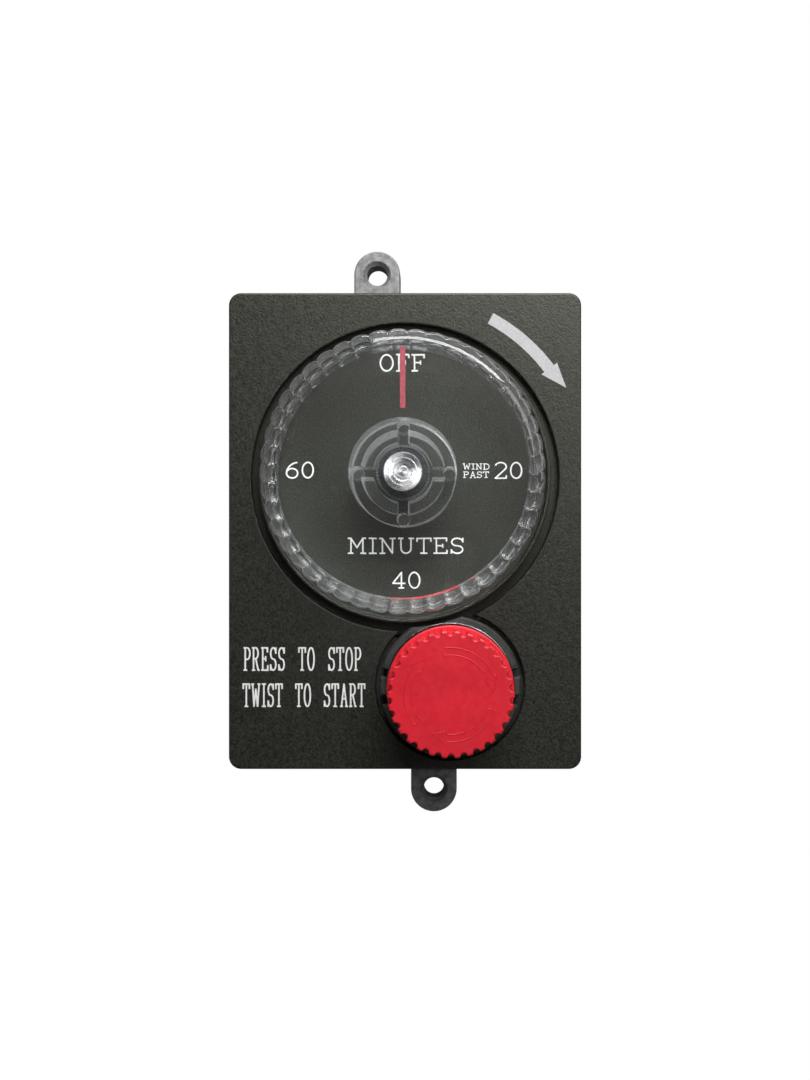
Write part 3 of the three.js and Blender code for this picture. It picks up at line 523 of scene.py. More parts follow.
MATERIALS = {
    "black_powder": powder_coat(),
    "black_plastic": moulded_black(),
    "clear_plastic": clear_plastic("clear_moulded_plastic", 0.96, 1.0),
    "red_plastic": moulded_red(),
    "chrome": turned_chrome(),
    "cast_alloy": cast_alloy(),
    "rubber": matt_rubber(),
    "brass": rolled_brass(),
    "steel": plated_steel(),
    "spring_steel": spring_wire(),
}
POINTER_RED = ink("pointer_red_ink", (0.27, 0.032, 0.045), 1.5, 0.85, 1.15)
WHITE_INK = ink("white_screen_ink", (0.80, 0.80, 0.78), 0.5, 0.88, 1.05)
GREY_INK = ink("grey_screen_ink", (0.47, 0.47, 0.475), 0.6, 0.9, 1.06)
NODE_SLOTS = {part["node"]: part["material_slot"] for part in frame["record"]["subparts"]}
NODE_BODIES = {
    node: body for body, nodes in frame["record"]["behaviour"]["bodies"].items() for node in nodes
}


def settle(obj, body, slot, material=None, replaces=()):
    """Gives a finished piece its material and its body, and hides the CAD nodes that it stands for.

    Ink has a material of its own and no slot.
    """
    obj.data.materials.clear()
    obj.data.materials.append(material or MATERIALS[slot])
    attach(obj, body)
    if replaces:
        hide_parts(*replaces)
    return obj


# ---- face plate and dial cup
PLATE_CORNER = 4.0
PLATE_EDGE = 0.6
PLATE_BACK = 10.5
DIAL_OPENING = 49.7
STOP_OPENING = 24.0
CUP_BORE = 7.0
CUP_BACK = 9.6
CUP_FACE = 12.0
RIM_GAP = 3.5
RIM_WIDTH = 1.2
RIM_BACK = 10.3


def face_plate():
    def outline(inset):
        return rounded_rectangle(PLATE.right - inset, PLATE.top - inset, PLATE_CORNER - inset)

    def opening(inset):
        return merged_circles(DIAL_AXIS, DIAL_OPENING - inset, STOP_AXIS, STOP_OPENING - inset)

    plate = slab("plate_panel", outline, [opening], PLATE_BACK, PLATE.front, PLATE_EDGE)
    return settle(smooth(plate), "housing", "black_powder", replaces=["face_plate"])


def dial_cup():
    """The disc under the knob, with a rim that stands round it."""
    rim = KNOB.radius + RIM_GAP
    profile = [
        (CUP_BORE, CUP_BACK), (CUP.radius, CUP_BACK),
        (CUP.radius, RIM_BACK), (rim, RIM_BACK),
        (rim, CUP.front), (rim - RIM_WIDTH, CUP.front),
        (rim - RIM_WIDTH, CUP_FACE), (CUP_BORE, CUP_FACE),
    ]
    cup = turned("dial_well", rounded(profile, 0.45), DIAL_AXIS, 192)
    return settle(smooth(cup), "housing", "black_powder", replaces=["dial_cup"])


# ---- clear knob
SCALLOPS = 45
SCALLOP_DROP = 0.9
KNOB_DRAFT = 1.4
HOLLOW_MOUTH, HOLLOW_END, HOLLOW_CORNER = 40.9, 38.9, 38.3
FACE_BACK = 36.0
FACE_RADIUS = 40.9
FACE_STEP = 0.45
HUB_RADIUS = 16.5
HUB_RING = 12.9
HUB_SOCKET = 9.1
HUB_RIB = 3.2
HUB_BACK = 15.0
HUB_POCKET = 34.0
RIB_HOLE, RIB_HOLE_RING, RIB_HOLE_END = 2.0, 14.3, 29
FIT = 0.1
POINTER_HALF, POINTER_NEAR, POINTER_FAR = 0.8, 19.3, 38.0
CAP_RADIUS = 5.85
CAP_EDGE = 0.15
CAP_BORE, CAP_BORE_DEPTH = 3.1, 17.5
# The rings turned on the cap's end: a radius, and how far it lies below the end.
CAP_RINGS = (
    (4.4, 0.02), (4.25, 0.2), (4.1, 0.02), (3.0, 0.05),
    (2.75, 0.7), (1.8, 0.75), (1.5, 0.3), (0, 0.2),
)
KNURLS = 48
KNURL_DEPTH = 0.5
KNURL_RADIUS = INSERT.radius
KNURL_FRONT = 32.0
KNURL_BACK = 24.0


def scalloped(radius, drop=SCALLOP_DROP, per_bump=12):
    """Round bumps that meet in sharp valleys."""
    points = []
    for i in range(SCALLOPS * per_bump):
        across = (i % per_bump) / per_bump - 0.5
        fall = drop * (1 - math.sqrt(1 - (1.9 * across) ** 2)) / (1 - math.sqrt(1 - 0.95**2))
        points.append(polar(radius - fall, i / per_bump / SCALLOPS * TURN, DIAL_AXIS))
    return points


def knob_hub():
    """The hub: four pockets between ribs, a hole in each rib and a stepped socket for the cap."""
    hub = turned("hub", [
        (0, HUB_BACK), (HUB_RADIUS - 0.4, HUB_BACK),
        (HUB_RADIUS, HUB_BACK + 0.4), (HUB_RADIUS, FACE_BACK + 0.5),
        (0, FACE_BACK + 0.5),
    ], DIAL_AXIS, 96)
    outer = math.asin(HUB_RIB / 2 / HUB_RING)
    inner = math.asin(HUB_RIB / 2 / HUB_SOCKET)
    for k in range(4):
        start, end = k * TURN / 4, (k + 1) * TURN / 4
        outline = arc(HUB_RING, start + outer, end - outer, 16, DIAL_AXIS)
        outline += arc(HUB_SOCKET, end - inner, start + inner, 12, DIAL_AXIS)
        carve(hub, loft("pocket", [(outline, HUB_BACK - 1), (outline, HUB_POCKET)]))
        hole = circle(RIB_HOLE, 32, polar(RIB_HOLE_RING, start, DIAL_AXIS))
        carve(hub, loft("hole", [(hole, HUB_BACK - 1), (hole, RIB_HOLE_END)]))
    bore = CAP_RADIUS + FIT
    socket = turned("socket", [
        (0, HUB_BACK - 1), (KNURL_RADIUS + FIT, HUB_BACK - 1),
        (KNURL_RADIUS + FIT, KNURL_FRONT + FIT), (bore, KNURL_FRONT + FIT),
        (bore, INSERT.front + FIT), (0, INSERT.front + FIT),
    ], DIAL_AXIS, 96)
    return carve(hub, socket)


def dial_knob():
    """The clear knob. Its hub's faces take a cloudier plastic."""
    front = KNOB.front
    r = KNOB.radius
    knob = loft("knob_shell", [
        (scalloped(r - KNOB_DRAFT - 0.5), KNOB.back),
        (scalloped(r - KNOB_DRAFT), KNOB.back + 0.5),
        (scalloped(r), front - 2.0),
        (scalloped(r - 0.25), front - 1.1),
        (scalloped(r - 0.8, SCALLOP_DROP * 0.8), front - 0.6),
        (scalloped(r - 1.6, SCALLOP_DROP * 0.4), front - FACE_STEP),
    ])
    face = turned("face", [
        (0, front - 1), (FACE_RADIUS, front - 1),
        (FACE_RADIUS, front - FACE_STEP * 0.9), (FACE_RADIUS - 0.1, front - FACE_STEP * 0.62),
        (FACE_RADIUS - 0.9, front - FACE_STEP * 0.08), (FACE_RADIUS - 1.1, front),
        (0, front),
    ], DIAL_AXIS, 192)
    carve(knob, face, "UNION")
    hollow = turned("hollow", [
        (0, KNOB.back - 1), (HOLLOW_MOUTH, KNOB.back - 1),
        (HOLLOW_END, FACE_BACK - 0.6), (HOLLOW_CORNER, FACE_BACK),
        (0, FACE_BACK),
    ], DIAL_AXIS, 180)
    carve(knob, hollow)
    carve(knob, knob_hub(), "UNION")
    settle(smooth(knob, 25), "dial", "clear_plastic", replaces=["dial_knob"])
    knob.data.materials.append(clear_plastic("cloudy_hub_plastic", 0.78, 0.98))
    for polygon in knob.data.polygons:
        x, y, z = polygon.center / MM
        in_hub = math.dist((x, z), DIAL_AXIS) < HUB_RADIUS + 0.5 and -y < FACE_BACK
        polygon.material_index = 1 if in_hub else 0
    return knob


def pointer():
    """The red line printed on the back of the knob's face."""
    x, z = DIAL_AXIS
    left, right = x - POINTER_HALF, x + POINTER_HALF
    near, far = z + POINTER_NEAR, z + POINTER_FAR
    outline = [(left, near), (right, near), (right, far), (left, far)]
    stripe = loft("pointer_line", [(outline, FACE_BACK - 0.2), (outline, FACE_BACK - 0.02)])
    return settle(stripe, "dial", None, POINTER_RED)


def knob_insert():
    """The metal boss in the knob: turned rings on its end, and a knurled flange behind."""
    r, front = CAP_RADIUS, INSERT.front
    cap = [
        (0, INSERT.back + CAP_BORE_DEPTH), (CAP_BORE, INSERT.back + CAP_BORE_DEPTH),
        (CAP_BORE, INSERT.back), (r, INSERT.back),
        (r, front - CAP_EDGE), (r - CAP_EDGE, front),
    ]
    cap += [(ring, front - drop) for ring, drop in CAP_RINGS]
    boss = turned("knob_boss", cap, (0, 0), 96)
    boss.location = (DIAL_AXIS[0] * MM, 0, DIAL_AXIS[1] * MM)
    settle(smooth(boss), "dial", "chrome", replaces=["knob_insert"])
    per_knurl = 4
    outline = []
    for i in range(KNURLS * per_knurl):
        ridge = abs((i % per_knurl) / per_knurl - 0.5) * 2
        angle = i / KNURLS / per_knurl * TURN
        outline.append(polar(KNURL_RADIUS - KNURL_DEPTH * ridge, angle, DIAL_AXIS))
    inner = circle(r + 0.02, len(outline), DIAL_AXIS)
    sleeve = loft("knob_boss_knurl", [(outline, KNURL_BACK), (outline, KNURL_FRONT)])
    carve(sleeve, loft("bore", [(inner, KNURL_BACK - 1), (inner, KNURL_FRONT + 1)]))
    return settle(smooth(sleeve, 25), "dial", "chrome", dark_steel(), replaces=["knob_insert"])


# ---- emergency stop
TEETH = 30
NOTCH = 1.15
HALF_NOTCH = 0.29
GRIP_RADIUS = 19.2
HEAD_STEP = 26.0
HEAD_HOLLOW, HEAD_HOLLOW_FRONT = 13.0, 38.0
POST_RADIUS, POST_BACK = 6.0, 28.0
STEM_SOCKET, STEM_SOCKET_FRONT = 3.6, 39.8
# The arrows on the head, in degrees and millimetres.
ARROW_START, ARROW_STEP, ARROW_SHAFT, ARROW_LENGTH = 100, 120, 76, 96
ARROW_INNER, ARROW_OUTER, ARROW_BARB, ARROW_WIRE = 11.9, 14.1, 0.9, 0.17


def toothed(radius, depth=NOTCH, per_tooth=16):
    """Round notches between flat-topped teeth."""
    points = []
    for i in range(TEETH * per_tooth):
        across = (i % per_tooth) / per_tooth - 0.5
        inside = max(0.0, 1 - (across / HALF_NOTCH) ** 2)
        points.append(polar(radius - depth * math.sqrt(inside), i / per_tooth / TEETH * TURN, STOP_AXIS))
    return points


def stop_head():
    """The red head: a toothed grip on a flange, hollow round a post that takes the stem."""
    tip, front = GRIP_RADIUS, HEAD.front
    grip = loft("stop_grip", [
        (toothed(tip), HEAD_STEP - 0.5),
        (toothed(tip), front - 0.75),
        (toothed(tip - 0.12), front - 0.35),
        (toothed(tip - 0.4), front - 0.1),
        (toothed(tip - 0.8), front),
    ])
    flange = turned("flange", rounded([
        (0, HEAD.back), (HEAD.radius, HEAD.back),
        (HEAD.radius, HEAD_STEP), (0, HEAD_STEP),
    ], 0.5), STOP_AXIS, 160)
    carve(grip, flange, "UNION")
    hollow = turned("hollow", [
        (0, HEAD.back - 1), (HEAD_HOLLOW, HEAD.back - 1),
        (HEAD_HOLLOW, HEAD_HOLLOW_FRONT), (POST_RADIUS, HEAD_HOLLOW_FRONT),
        (POST_RADIUS, POST_BACK), (STEM_SOCKET, POST_BACK),
        (STEM_SOCKET, STEM_SOCKET_FRONT), (0, STEM_SOCKET_FRONT),
    ], STOP_AXIS, 96)
    carve(grip, hollow)
    return settle(smooth(grip, 30), "stop_head", "red_plastic", replaces=["estop_head"])


def turn_arrow(index):
    """A raised outline of a curved arrow that points clockwise."""
    depth = HEAD.front - 0.05
    start = math.radians(ARROW_START - ARROW_STEP * index)
    end = start - math.radians(ARROW_SHAFT)
    tip = start - math.radians(ARROW_LENGTH)
    outline = arc(ARROW_OUTER, start, end, 20, STOP_AXIS)
    outline.append(polar(ARROW_OUTER + ARROW_BARB, end, STOP_AXIS))
    outline.append(polar((ARROW_INNER + ARROW_OUTER) / 2, tip, STOP_AXIS))
    outline.append(polar(ARROW_INNER - ARROW_BARB, end, STOP_AXIS))
    outline += arc(ARROW_INNER, end, start, 20, STOP_AXIS)
    wire = tube(f"turn_arrow_{index + 1}", [(x, depth, z) for x, z in outline], ARROW_WIRE, 8, True)
    return settle(smooth(wire, 60), "stop_head", "red_plastic")


NOTCH_FROM, NOTCH_TO, NOTCH_DEPTH = 3.2, 6.0, 4.5
COLLAR_RADIUS = 22.7
COLLAR_CUT = 48.4
COLLAR_BORE = 8.2
SKIRT_RADIUS = 25.5
SKIRT_CUT = 52.0
SKIRT_FRONT = 10.4
RING_BORE = 7.9


def reach_beside_dial(angle, radius, cut):
    """How far a piece about the stop's axis reaches: to its radius, or to the arc that clears the dial."""
    dx, dz = DIAL_AXIS[0] - STOP_AXIS[0], DIAL_AXIS[1] - STOP_AXIS[1]
    along = dx * math.cos(angle) + dz * math.sin(angle)
    inside = along**2 - (dx**2 + dz**2 - cut**2)
    if inside > 0 and along > 0:
        return min(radius, along - math.sqrt(inside))
    return radius


def collar_reach(angle, inset):
    """How far the collar reaches from its axis: to its rim, to a notch, or to the dial's clearance arc."""
    radius = reach_beside_dial(angle, COLLAR_RADIUS - inset, COLLAR_CUT + inset)
    up = abs(radius * math.sin(angle))
    if NOTCH_FROM - inset < up < NOTCH_TO + inset and abs(math.cos(angle)) > 0.8:
        radius = min(radius, (COLLAR_RADIUS - NOTCH_DEPTH - inset) / abs(math.cos(angle)))
    return radius


def stop_collar():
    """The notched ring in front of the plate and the skirt behind it."""
    def outline(inset):
        angles = [i / 720 * TURN for i in range(720)]
        return [polar(collar_reach(a, inset), a, STOP_AXIS) for a in angles]

    angles = [i / 360 * TURN for i in range(360)]
    skirt = [polar(reach_beside_dial(a, SKIRT_RADIUS, SKIRT_CUT), a, STOP_AXIS) for a in angles]
    ring = loft("collar_ring", [
        (outline(0), COLLAR.back + 0.5),
        (outline(0), COLLAR.front - 0.9),
        (outline(0.2), COLLAR.front - 0.4),
        (outline(0.7), COLLAR.front),
    ])
    carve(ring, loft("skirt", [(skirt, COLLAR.back), (skirt, SKIRT_FRONT)]), "UNION")
    bore = turned("bore", [(0, 0), (COLLAR_BORE, 0), (COLLAR_BORE, 30), (0, 30)], STOP_AXIS, 96)
    carve(ring, bore)
    return settle(smooth(ring, 30), "housing", "black_plastic", replaces=["estop_collar"])


def ring_nut():
    nut = turned("ring_nut", rounded([
        (RING_BORE, RING.back), (RING.radius, RING.back),
        (RING.radius, RING.front), (RING_BORE, RING.front),
    ], 0.4), STOP_AXIS, 128)
    return settle(smooth(nut), "housing", "chrome", dark_steel(), replaces=["estop_ring_nut"])


def coil_spring(node, name, turns, wire):
    """A coil of wire that fills its CAD node's box, wound from the back to the front."""
    box = Box(node)
    radius = box.radius - wire - 0.05
    back, front = box.back + wire, box.front - wire
    steps = 32 * turns
    points = []
    for i in range(steps + 1):
        x, z = polar(radius, i / steps * turns * TURN, (box.x, box.z))
        points.append((x, back + (front - back) * i / steps, z))
    coil = smooth(tube(name, points, wire, 12), 60)
    settle(coil, NODE_BODIES[node], "spring_steel", replaces=[node])
    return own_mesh(coil)


# ---- the casting
# Hole sizes are radii. Cutters run 1 mm past a face that they open.
FLANGE_HALF = (53.0, 73.0)
FLANGE_CORNER = 5.0
FLANGE_FRONT = 9.2
HOUSING_HALF = (49.0, 69.0)
HOUSING_CORNER = 6.0
HOUSING_BACK = -16.0
CAVITY_HALF = (45.0, 65.0)
CAVITY_CORNER = 7.0
CAVITY_FLOOR = -12.0
BLOCK_HALF = (BACK.radius, (BACK.top - BACK.bottom) / 2)
BLOCK_CORNER = 6.0
BLOCK_BACK = -40.0
EAR_X, EAR_HOLE_Z, EAR_TIP = 9.3, 84.0, 91.75
EAR_HALF, EAR_FRONT, EAR_HOLE, EAR_CHAMFER = 7.5, 8.5, 3.3, 1.2
PORT_BOSS, PORT_BORE, PORT_END, PORT_DEPTH = 13.5, 8.5, 49.2, -24.0
INLET = (-1, STOP_AXIS[1])
OUTLET = (1, DIAL_AXIS[1])
PASSAGE_HALF, PASSAGE_FRONT = 12.0, -32.0
PILLAR_TOWER, PILLAR_TOWER_FRONT, STOP_TOWER = 3.6, -7.6, 13.0
PILLAR_TAP, PILLAR_TAP_BACK, PILLAR_TAP_FRONT = 1.6, -14.8, -7.0
CHAMBER, CHAMBER_BACK, CHAMBER_FRONT = 10.0, -30.0, -18.0
VALVE_SEATS = ((STOP_AXIS[1], 5.5), (DIAL_AXIS[1], 5.0))
SEAT_BACK, SEAT_FRONT = -33.0, -29.0
SHAFT_BACK, SHAFT_FRONT = -19.0, -11.0
STEM_HOLE, PIN_HOLE, ARBOR_HOLE, ARBOR_BACK = 3.6, 1.6, 2.6, -14.5
BUSHING_HOLE, BUSHING_BACK = 7.9, -1.6
PIN_RING_HOLE, PIN_RING_BACK = 3.2, -14.0
COVER_TAP, COVER_TAP_FRONT, COVER_HOLE = 2.1, -32.0, 2.3
PLATE_TAP, PLATE_TAP_BACK, PLATE_TAP_FRONT = 1.6, -1.0, 4.5
PLATE_POCKET, PLATE_POCKET_BACK = 3.2, 3.6
SCREW_POCKET, SCREW_POCKET_FRONT = 3.05, 2.4
TRACK_RISE, TRACK_EDGE = 1.2, 0.6
COVER_SCREW = (3.4, 2.2, 2.0)
PLATE_SCREW = (2.75, 1.8, 1.5)
HEX_START, HEX_LENGTH, HEX_FLATS = PORT_END + 0.3, 6.7, 24.0
SHANK_RADIUS, SHANK_LENGTH = 8.2, 12
THREAD_RADIUS, THREAD_PITCH, THREAD_DEPTH = 6.5, 1.4, 0.55
COVER_SCREWS = [f"cover_screw_{k}" for k in range(1, 7)]
PLATE_SCREWS = [f"plate_screw_{k}" for k in range(1, 5)]
PILLARS = [f"movement_pillar_{k}" for k in range(1, 5)]


def ear(side):
    """A lug with a round end and softened edges."""
    x, edge = -side * EAR_X, 0.7
    root = FLANGE_HALF[1] - 6

    def outline(inset):
        half = EAR_HALF - inset
        tip = arc(half, 0, TURN / 2, 32, (x, EAR_TIP - EAR_HALF))
        points = [(x + half, root), *tip, (x - half, root)]
        return points if side > 0 else [(px, -pz) for px, pz in points]

    lug = loft("ear", [
        (outline(edge), 0),
        (outline(0.2), edge * 0.3),
        (outline(0), edge),
        (outline(0), EAR_FRONT - edge),
        (outline(0.2), EAR_FRONT - edge * 0.3),
        (outline(edge), EAR_FRONT),
    ])
    hole = turned("hole", [
        (0, -1), (EAR_HOLE, -1),
        (EAR_HOLE, EAR_FRONT - EAR_CHAMFER), (EAR_HOLE + EAR_CHAMFER + 1, EAR_FRONT + 1),
        (0, EAR_FRONT + 1),
    ], (x, side * EAR_HOLE_Z), 64)
    return carve(lug, hole)


def port_tool(name, radius, side, z, start, end, edge=0.0):
    """A round bar along X, from one distance out from the middle to another."""
    profile = [(0, start), (radius, start), (radius, end), (0, end)]
    bar = turned(name, rounded(profile, edge) if edge else profile, (0, 0), 96)
    return sideways(bar, side, PORT_DEPTH, z)


def casting():
    """Flange, housing, valve block, port bosses and ears, hollow for the movement and the gas."""
    cast = soft_block("valve_casting", (0, 0), FLANGE_HALF, FLANGE_CORNER, 0, FLANGE_FRONT, 0.6)
    for side in (1, -1):
        carve(cast, ear(side), "UNION")
    housing = soft_block("housing", (0, 0), HOUSING_HALF, HOUSING_CORNER, HOUSING_BACK, 5, 1.6)
    carve(cast, housing, "UNION")
    block = soft_block("block", (BACK.x, BACK.z), BLOCK_HALF, BLOCK_CORNER, BLOCK_BACK, -13, 0.35)
    carve(cast, block, "UNION")
    for side, z in (INLET, OUTLET):
        carve(cast, port_tool("boss", PORT_BOSS, side, z, 0, PORT_END, 0.8), "UNION")
    cavity = soft_block("cavity", (0, 0), CAVITY_HALF, CAVITY_CORNER, CAVITY_FLOOR, FLANGE_FRONT + 5, 1.0)
    carve(cast, cavity)
    stop_x, stop_z = STOP_AXIS
    dial_z = DIAL_AXIS[1]
    pillars = [Box(node) for node in PILLARS]
    towers = [(p.x, p.z, PILLAR_TOWER, CAVITY_FLOOR - 1, PILLAR_TOWER_FRONT) for p in pillars]
    towers.append((stop_x, stop_z, STOP_TOWER, CAVITY_FLOOR - 1, FLANGE_FRONT))
    carve(cast, round_holes("towers", towers), "UNION")
    for side, z in (INLET, OUTLET):
        carve(cast, port_tool("port", PORT_BORE, side, z, side * stop_x, PORT_END + 1))
    passage = obround(PASSAGE_HALF, stop_x, stop_z, dial_z)
    carve(cast, loft("passage", [(passage, BLOCK_BACK - 1), (passage, PASSAGE_FRONT)]))
    chambers = [(stop_x, z, CHAMBER, CHAMBER_BACK, CHAMBER_FRONT) for z, _ in VALVE_SEATS]
    carve(cast, round_holes("chambers", chambers))
    seats = [(stop_x, z, seat, SEAT_BACK, SEAT_FRONT) for z, seat in VALVE_SEATS]
    carve(cast, round_holes("seats", seats))
    shafts = [
        (stop_x, stop_z, STEM_HOLE, SHAFT_BACK, 0.0),
        (stop_x, dial_z, PIN_HOLE, SHAFT_BACK, SHAFT_FRONT),
        (*DIAL_AXIS, ARBOR_HOLE, ARBOR_BACK, SHAFT_FRONT),
    ]
    shafts += [(p.x, p.z, PILLAR_TAP, PILLAR_TAP_BACK, PILLAR_TAP_FRONT) for p in pillars]
    carve(cast, round_holes("shafts", shafts, 32))
    wide = [
        (stop_x, stop_z, BUSHING_HOLE, BUSHING_BACK, FLANGE_FRONT + 1),
        (stop_x, dial_z, PIN_RING_HOLE, PIN_RING_BACK, SHAFT_FRONT),
    ]
    carve(cast, round_holes("counterbores", wide, 32))
    covers = [Box(node) for node in COVER_SCREWS]
    plates = [Box(node) for node in PLATE_SCREWS]
    taps = [(b.x, b.z, COVER_TAP, BLOCK_BACK - 1, COVER_TAP_FRONT) for b in covers]
    taps += [(b.x, b.z, PLATE_TAP, PLATE_TAP_BACK, PLATE_TAP_FRONT) for b in plates]
    carve(cast, round_holes("taps", taps, 32))
    pockets = [(b.x, b.z, PLATE_POCKET, PLATE_POCKET_BACK, FLANGE_FRONT + 1) for b in plates]
    pockets += [(b.x, b.z, SCREW_POCKET, PLATE_TAP_BACK, SCREW_POCKET_FRONT) for b in plates]
    carve(cast, round_holes("pockets", pockets, 32))
    return settle(smooth(cast, 40), "housing", "cast_alloy", replaces=["valve_body"])


def gasket_and_cover():
    """The rubber sheet behind the block, and the plate over it with a raised track over the gas passage."""
    middle = (BACK.x, BACK.z)

    def outline(inset):
        half_width, half_height = BLOCK_HALF
        return rounded_rectangle(half_width - inset, half_height - inset, BLOCK_CORNER - inset, middle)

    def passage(margin):
        return lambda inset: obround(PASSAGE_HALF + margin - inset, *STOP_AXIS, DIAL_AXIS[1])

    def screw_hole(box):
        return lambda inset: circle(COVER_HOLE - inset, 32, (box.x, box.z))

    holes = [screw_hole(Box(node)) for node in COVER_SCREWS]
    sheet = slab("gasket_sheet", outline, [passage(0.5), *holes], GASKET.back, GASKET.front, 0.15)
    settle(smooth(sheet), "housing", "rubber", replaces=["rear_gasket"])

    cover = slab("back_cover", outline, holes, BACK.back + TRACK_RISE, BACK.front, 0.5)
    track = passage(1.5)
    levels = back_edge(track, TRACK_EDGE, BACK.back, 4)
    carve(cover, loft("track", [*levels, (track(0), BACK.front - 1)]), "UNION")
    return settle(smooth(cover, 40), "housing", "cast_alloy", replaces=["rear_cover"])


def screw(node, head, height, shank, slot_turn):
    """A slotted pan-head screw whose head points backwards."""
    box = Box(node)
    top = box.back
    profile = [
        (0, top), (head * 0.5, top + height * 0.05),
        (head * 0.8, top + height * 0.22), (head * 0.95, top + height * 0.45),
        (head, top + height * 0.7), (head, top + height),
        (shank, top + height), (shank, box.front),
        (0, box.front),
    ]
    made = turned(node.replace("screw", "slotted"), profile, (box.x, box.z), 48)
    half_slot = head * 0.13
    along = Vector((math.cos(slot_turn), math.sin(slot_turn)))
    across = Vector((-along.y, along.x))
    middle = Vector((box.x, box.z))
    outline = []
    for i, k in ((1, 1), (-1, 1), (-1, -1), (1, -1)):
        corner = middle + along * i * (head + 1) + across * k * half_slot
        outline.append((corner.x, corner.y))
    carve(made, loft("slot", [(outline, top - 1), (outline, top + height * 0.5)]))
    return settle(smooth(made, 30), "housing", "steel", replaces=[node])


def screws():
    """Every screw that shows behind, each with its slot at an angle of its own."""
    for k, node in enumerate(COVER_SCREWS):
        screw(node, *COVER_SCREW, 0.4 + 1.9 * k)
    for k, node in enumerate(PLATE_SCREWS):
        screw(node, *PLATE_SCREW, 1.1 + 2.3 * k)


def adapter(node, name, side, z):
    """A brass bushing: a chamfered hexagon, a threaded bore and a shank in the casting."""
    start, face = HEX_START, HEX_START + HEX_LENGTH
    tail = start - SHANK_LENGTH
    corner = HEX_FLATS / math.sqrt(3)
    hexagon = circle(corner, 6)
    body = loft(name, [(hexagon, start), (hexagon, face)])
    cone = turned("cone", [
        (0, start - 1), (corner + 1, start - 1),
        (corner + 1, face - 1.3), (corner - 2.0, face + 0.1),
        (0, face + 0.1),
    ], (0, 0), 96)
    carve(body, cone, "INTERSECT")
    shank = turned("shank", [
        (0, tail), (SHANK_RADIUS - 0.6, tail),
        (SHANK_RADIUS, tail + 1), (SHANK_RADIUS, start + 1),
        (0, start + 1),
    ])
    carve(body, shank, "UNION")
    crest = THREAD_RADIUS - THREAD_DEPTH
    profile = [(0, tail - 1), (crest, tail - 1)]
    for i in range(int((face - start + SHANK_LENGTH) / THREAD_PITCH)):
        foot = tail + i * THREAD_PITCH
        profile += [(crest, foot), (THREAD_RADIUS, foot + THREAD_PITCH / 2)]
    profile += [(crest, face - 1.6), (THREAD_RADIUS + 1.0, face + 0.1), (0, face + 0.1)]
    carve(body, turned("thread", profile, (0, 0), 64))
    sideways(body, side, PORT_DEPTH, z)
    return settle(smooth(body, 25), "housing", "brass", replaces=[node])


# ---- print: a plain slab-serif face
# A glyph is a width and strokes, on a body 7 units high. A line is points; a bow is a centre,
# two radii and its start and end angles in degrees.
def bow(x, y, rx, ry, start, end, count=20):
    angles = [math.radians(start + (end - start) * i / count) for i in range(count + 1)]
    return [(x + rx * math.cos(a), y + ry * math.sin(a)) for a in angles]


def serif(x, y, half=0.75):
    return [(x - half, y), (x + half, y)]


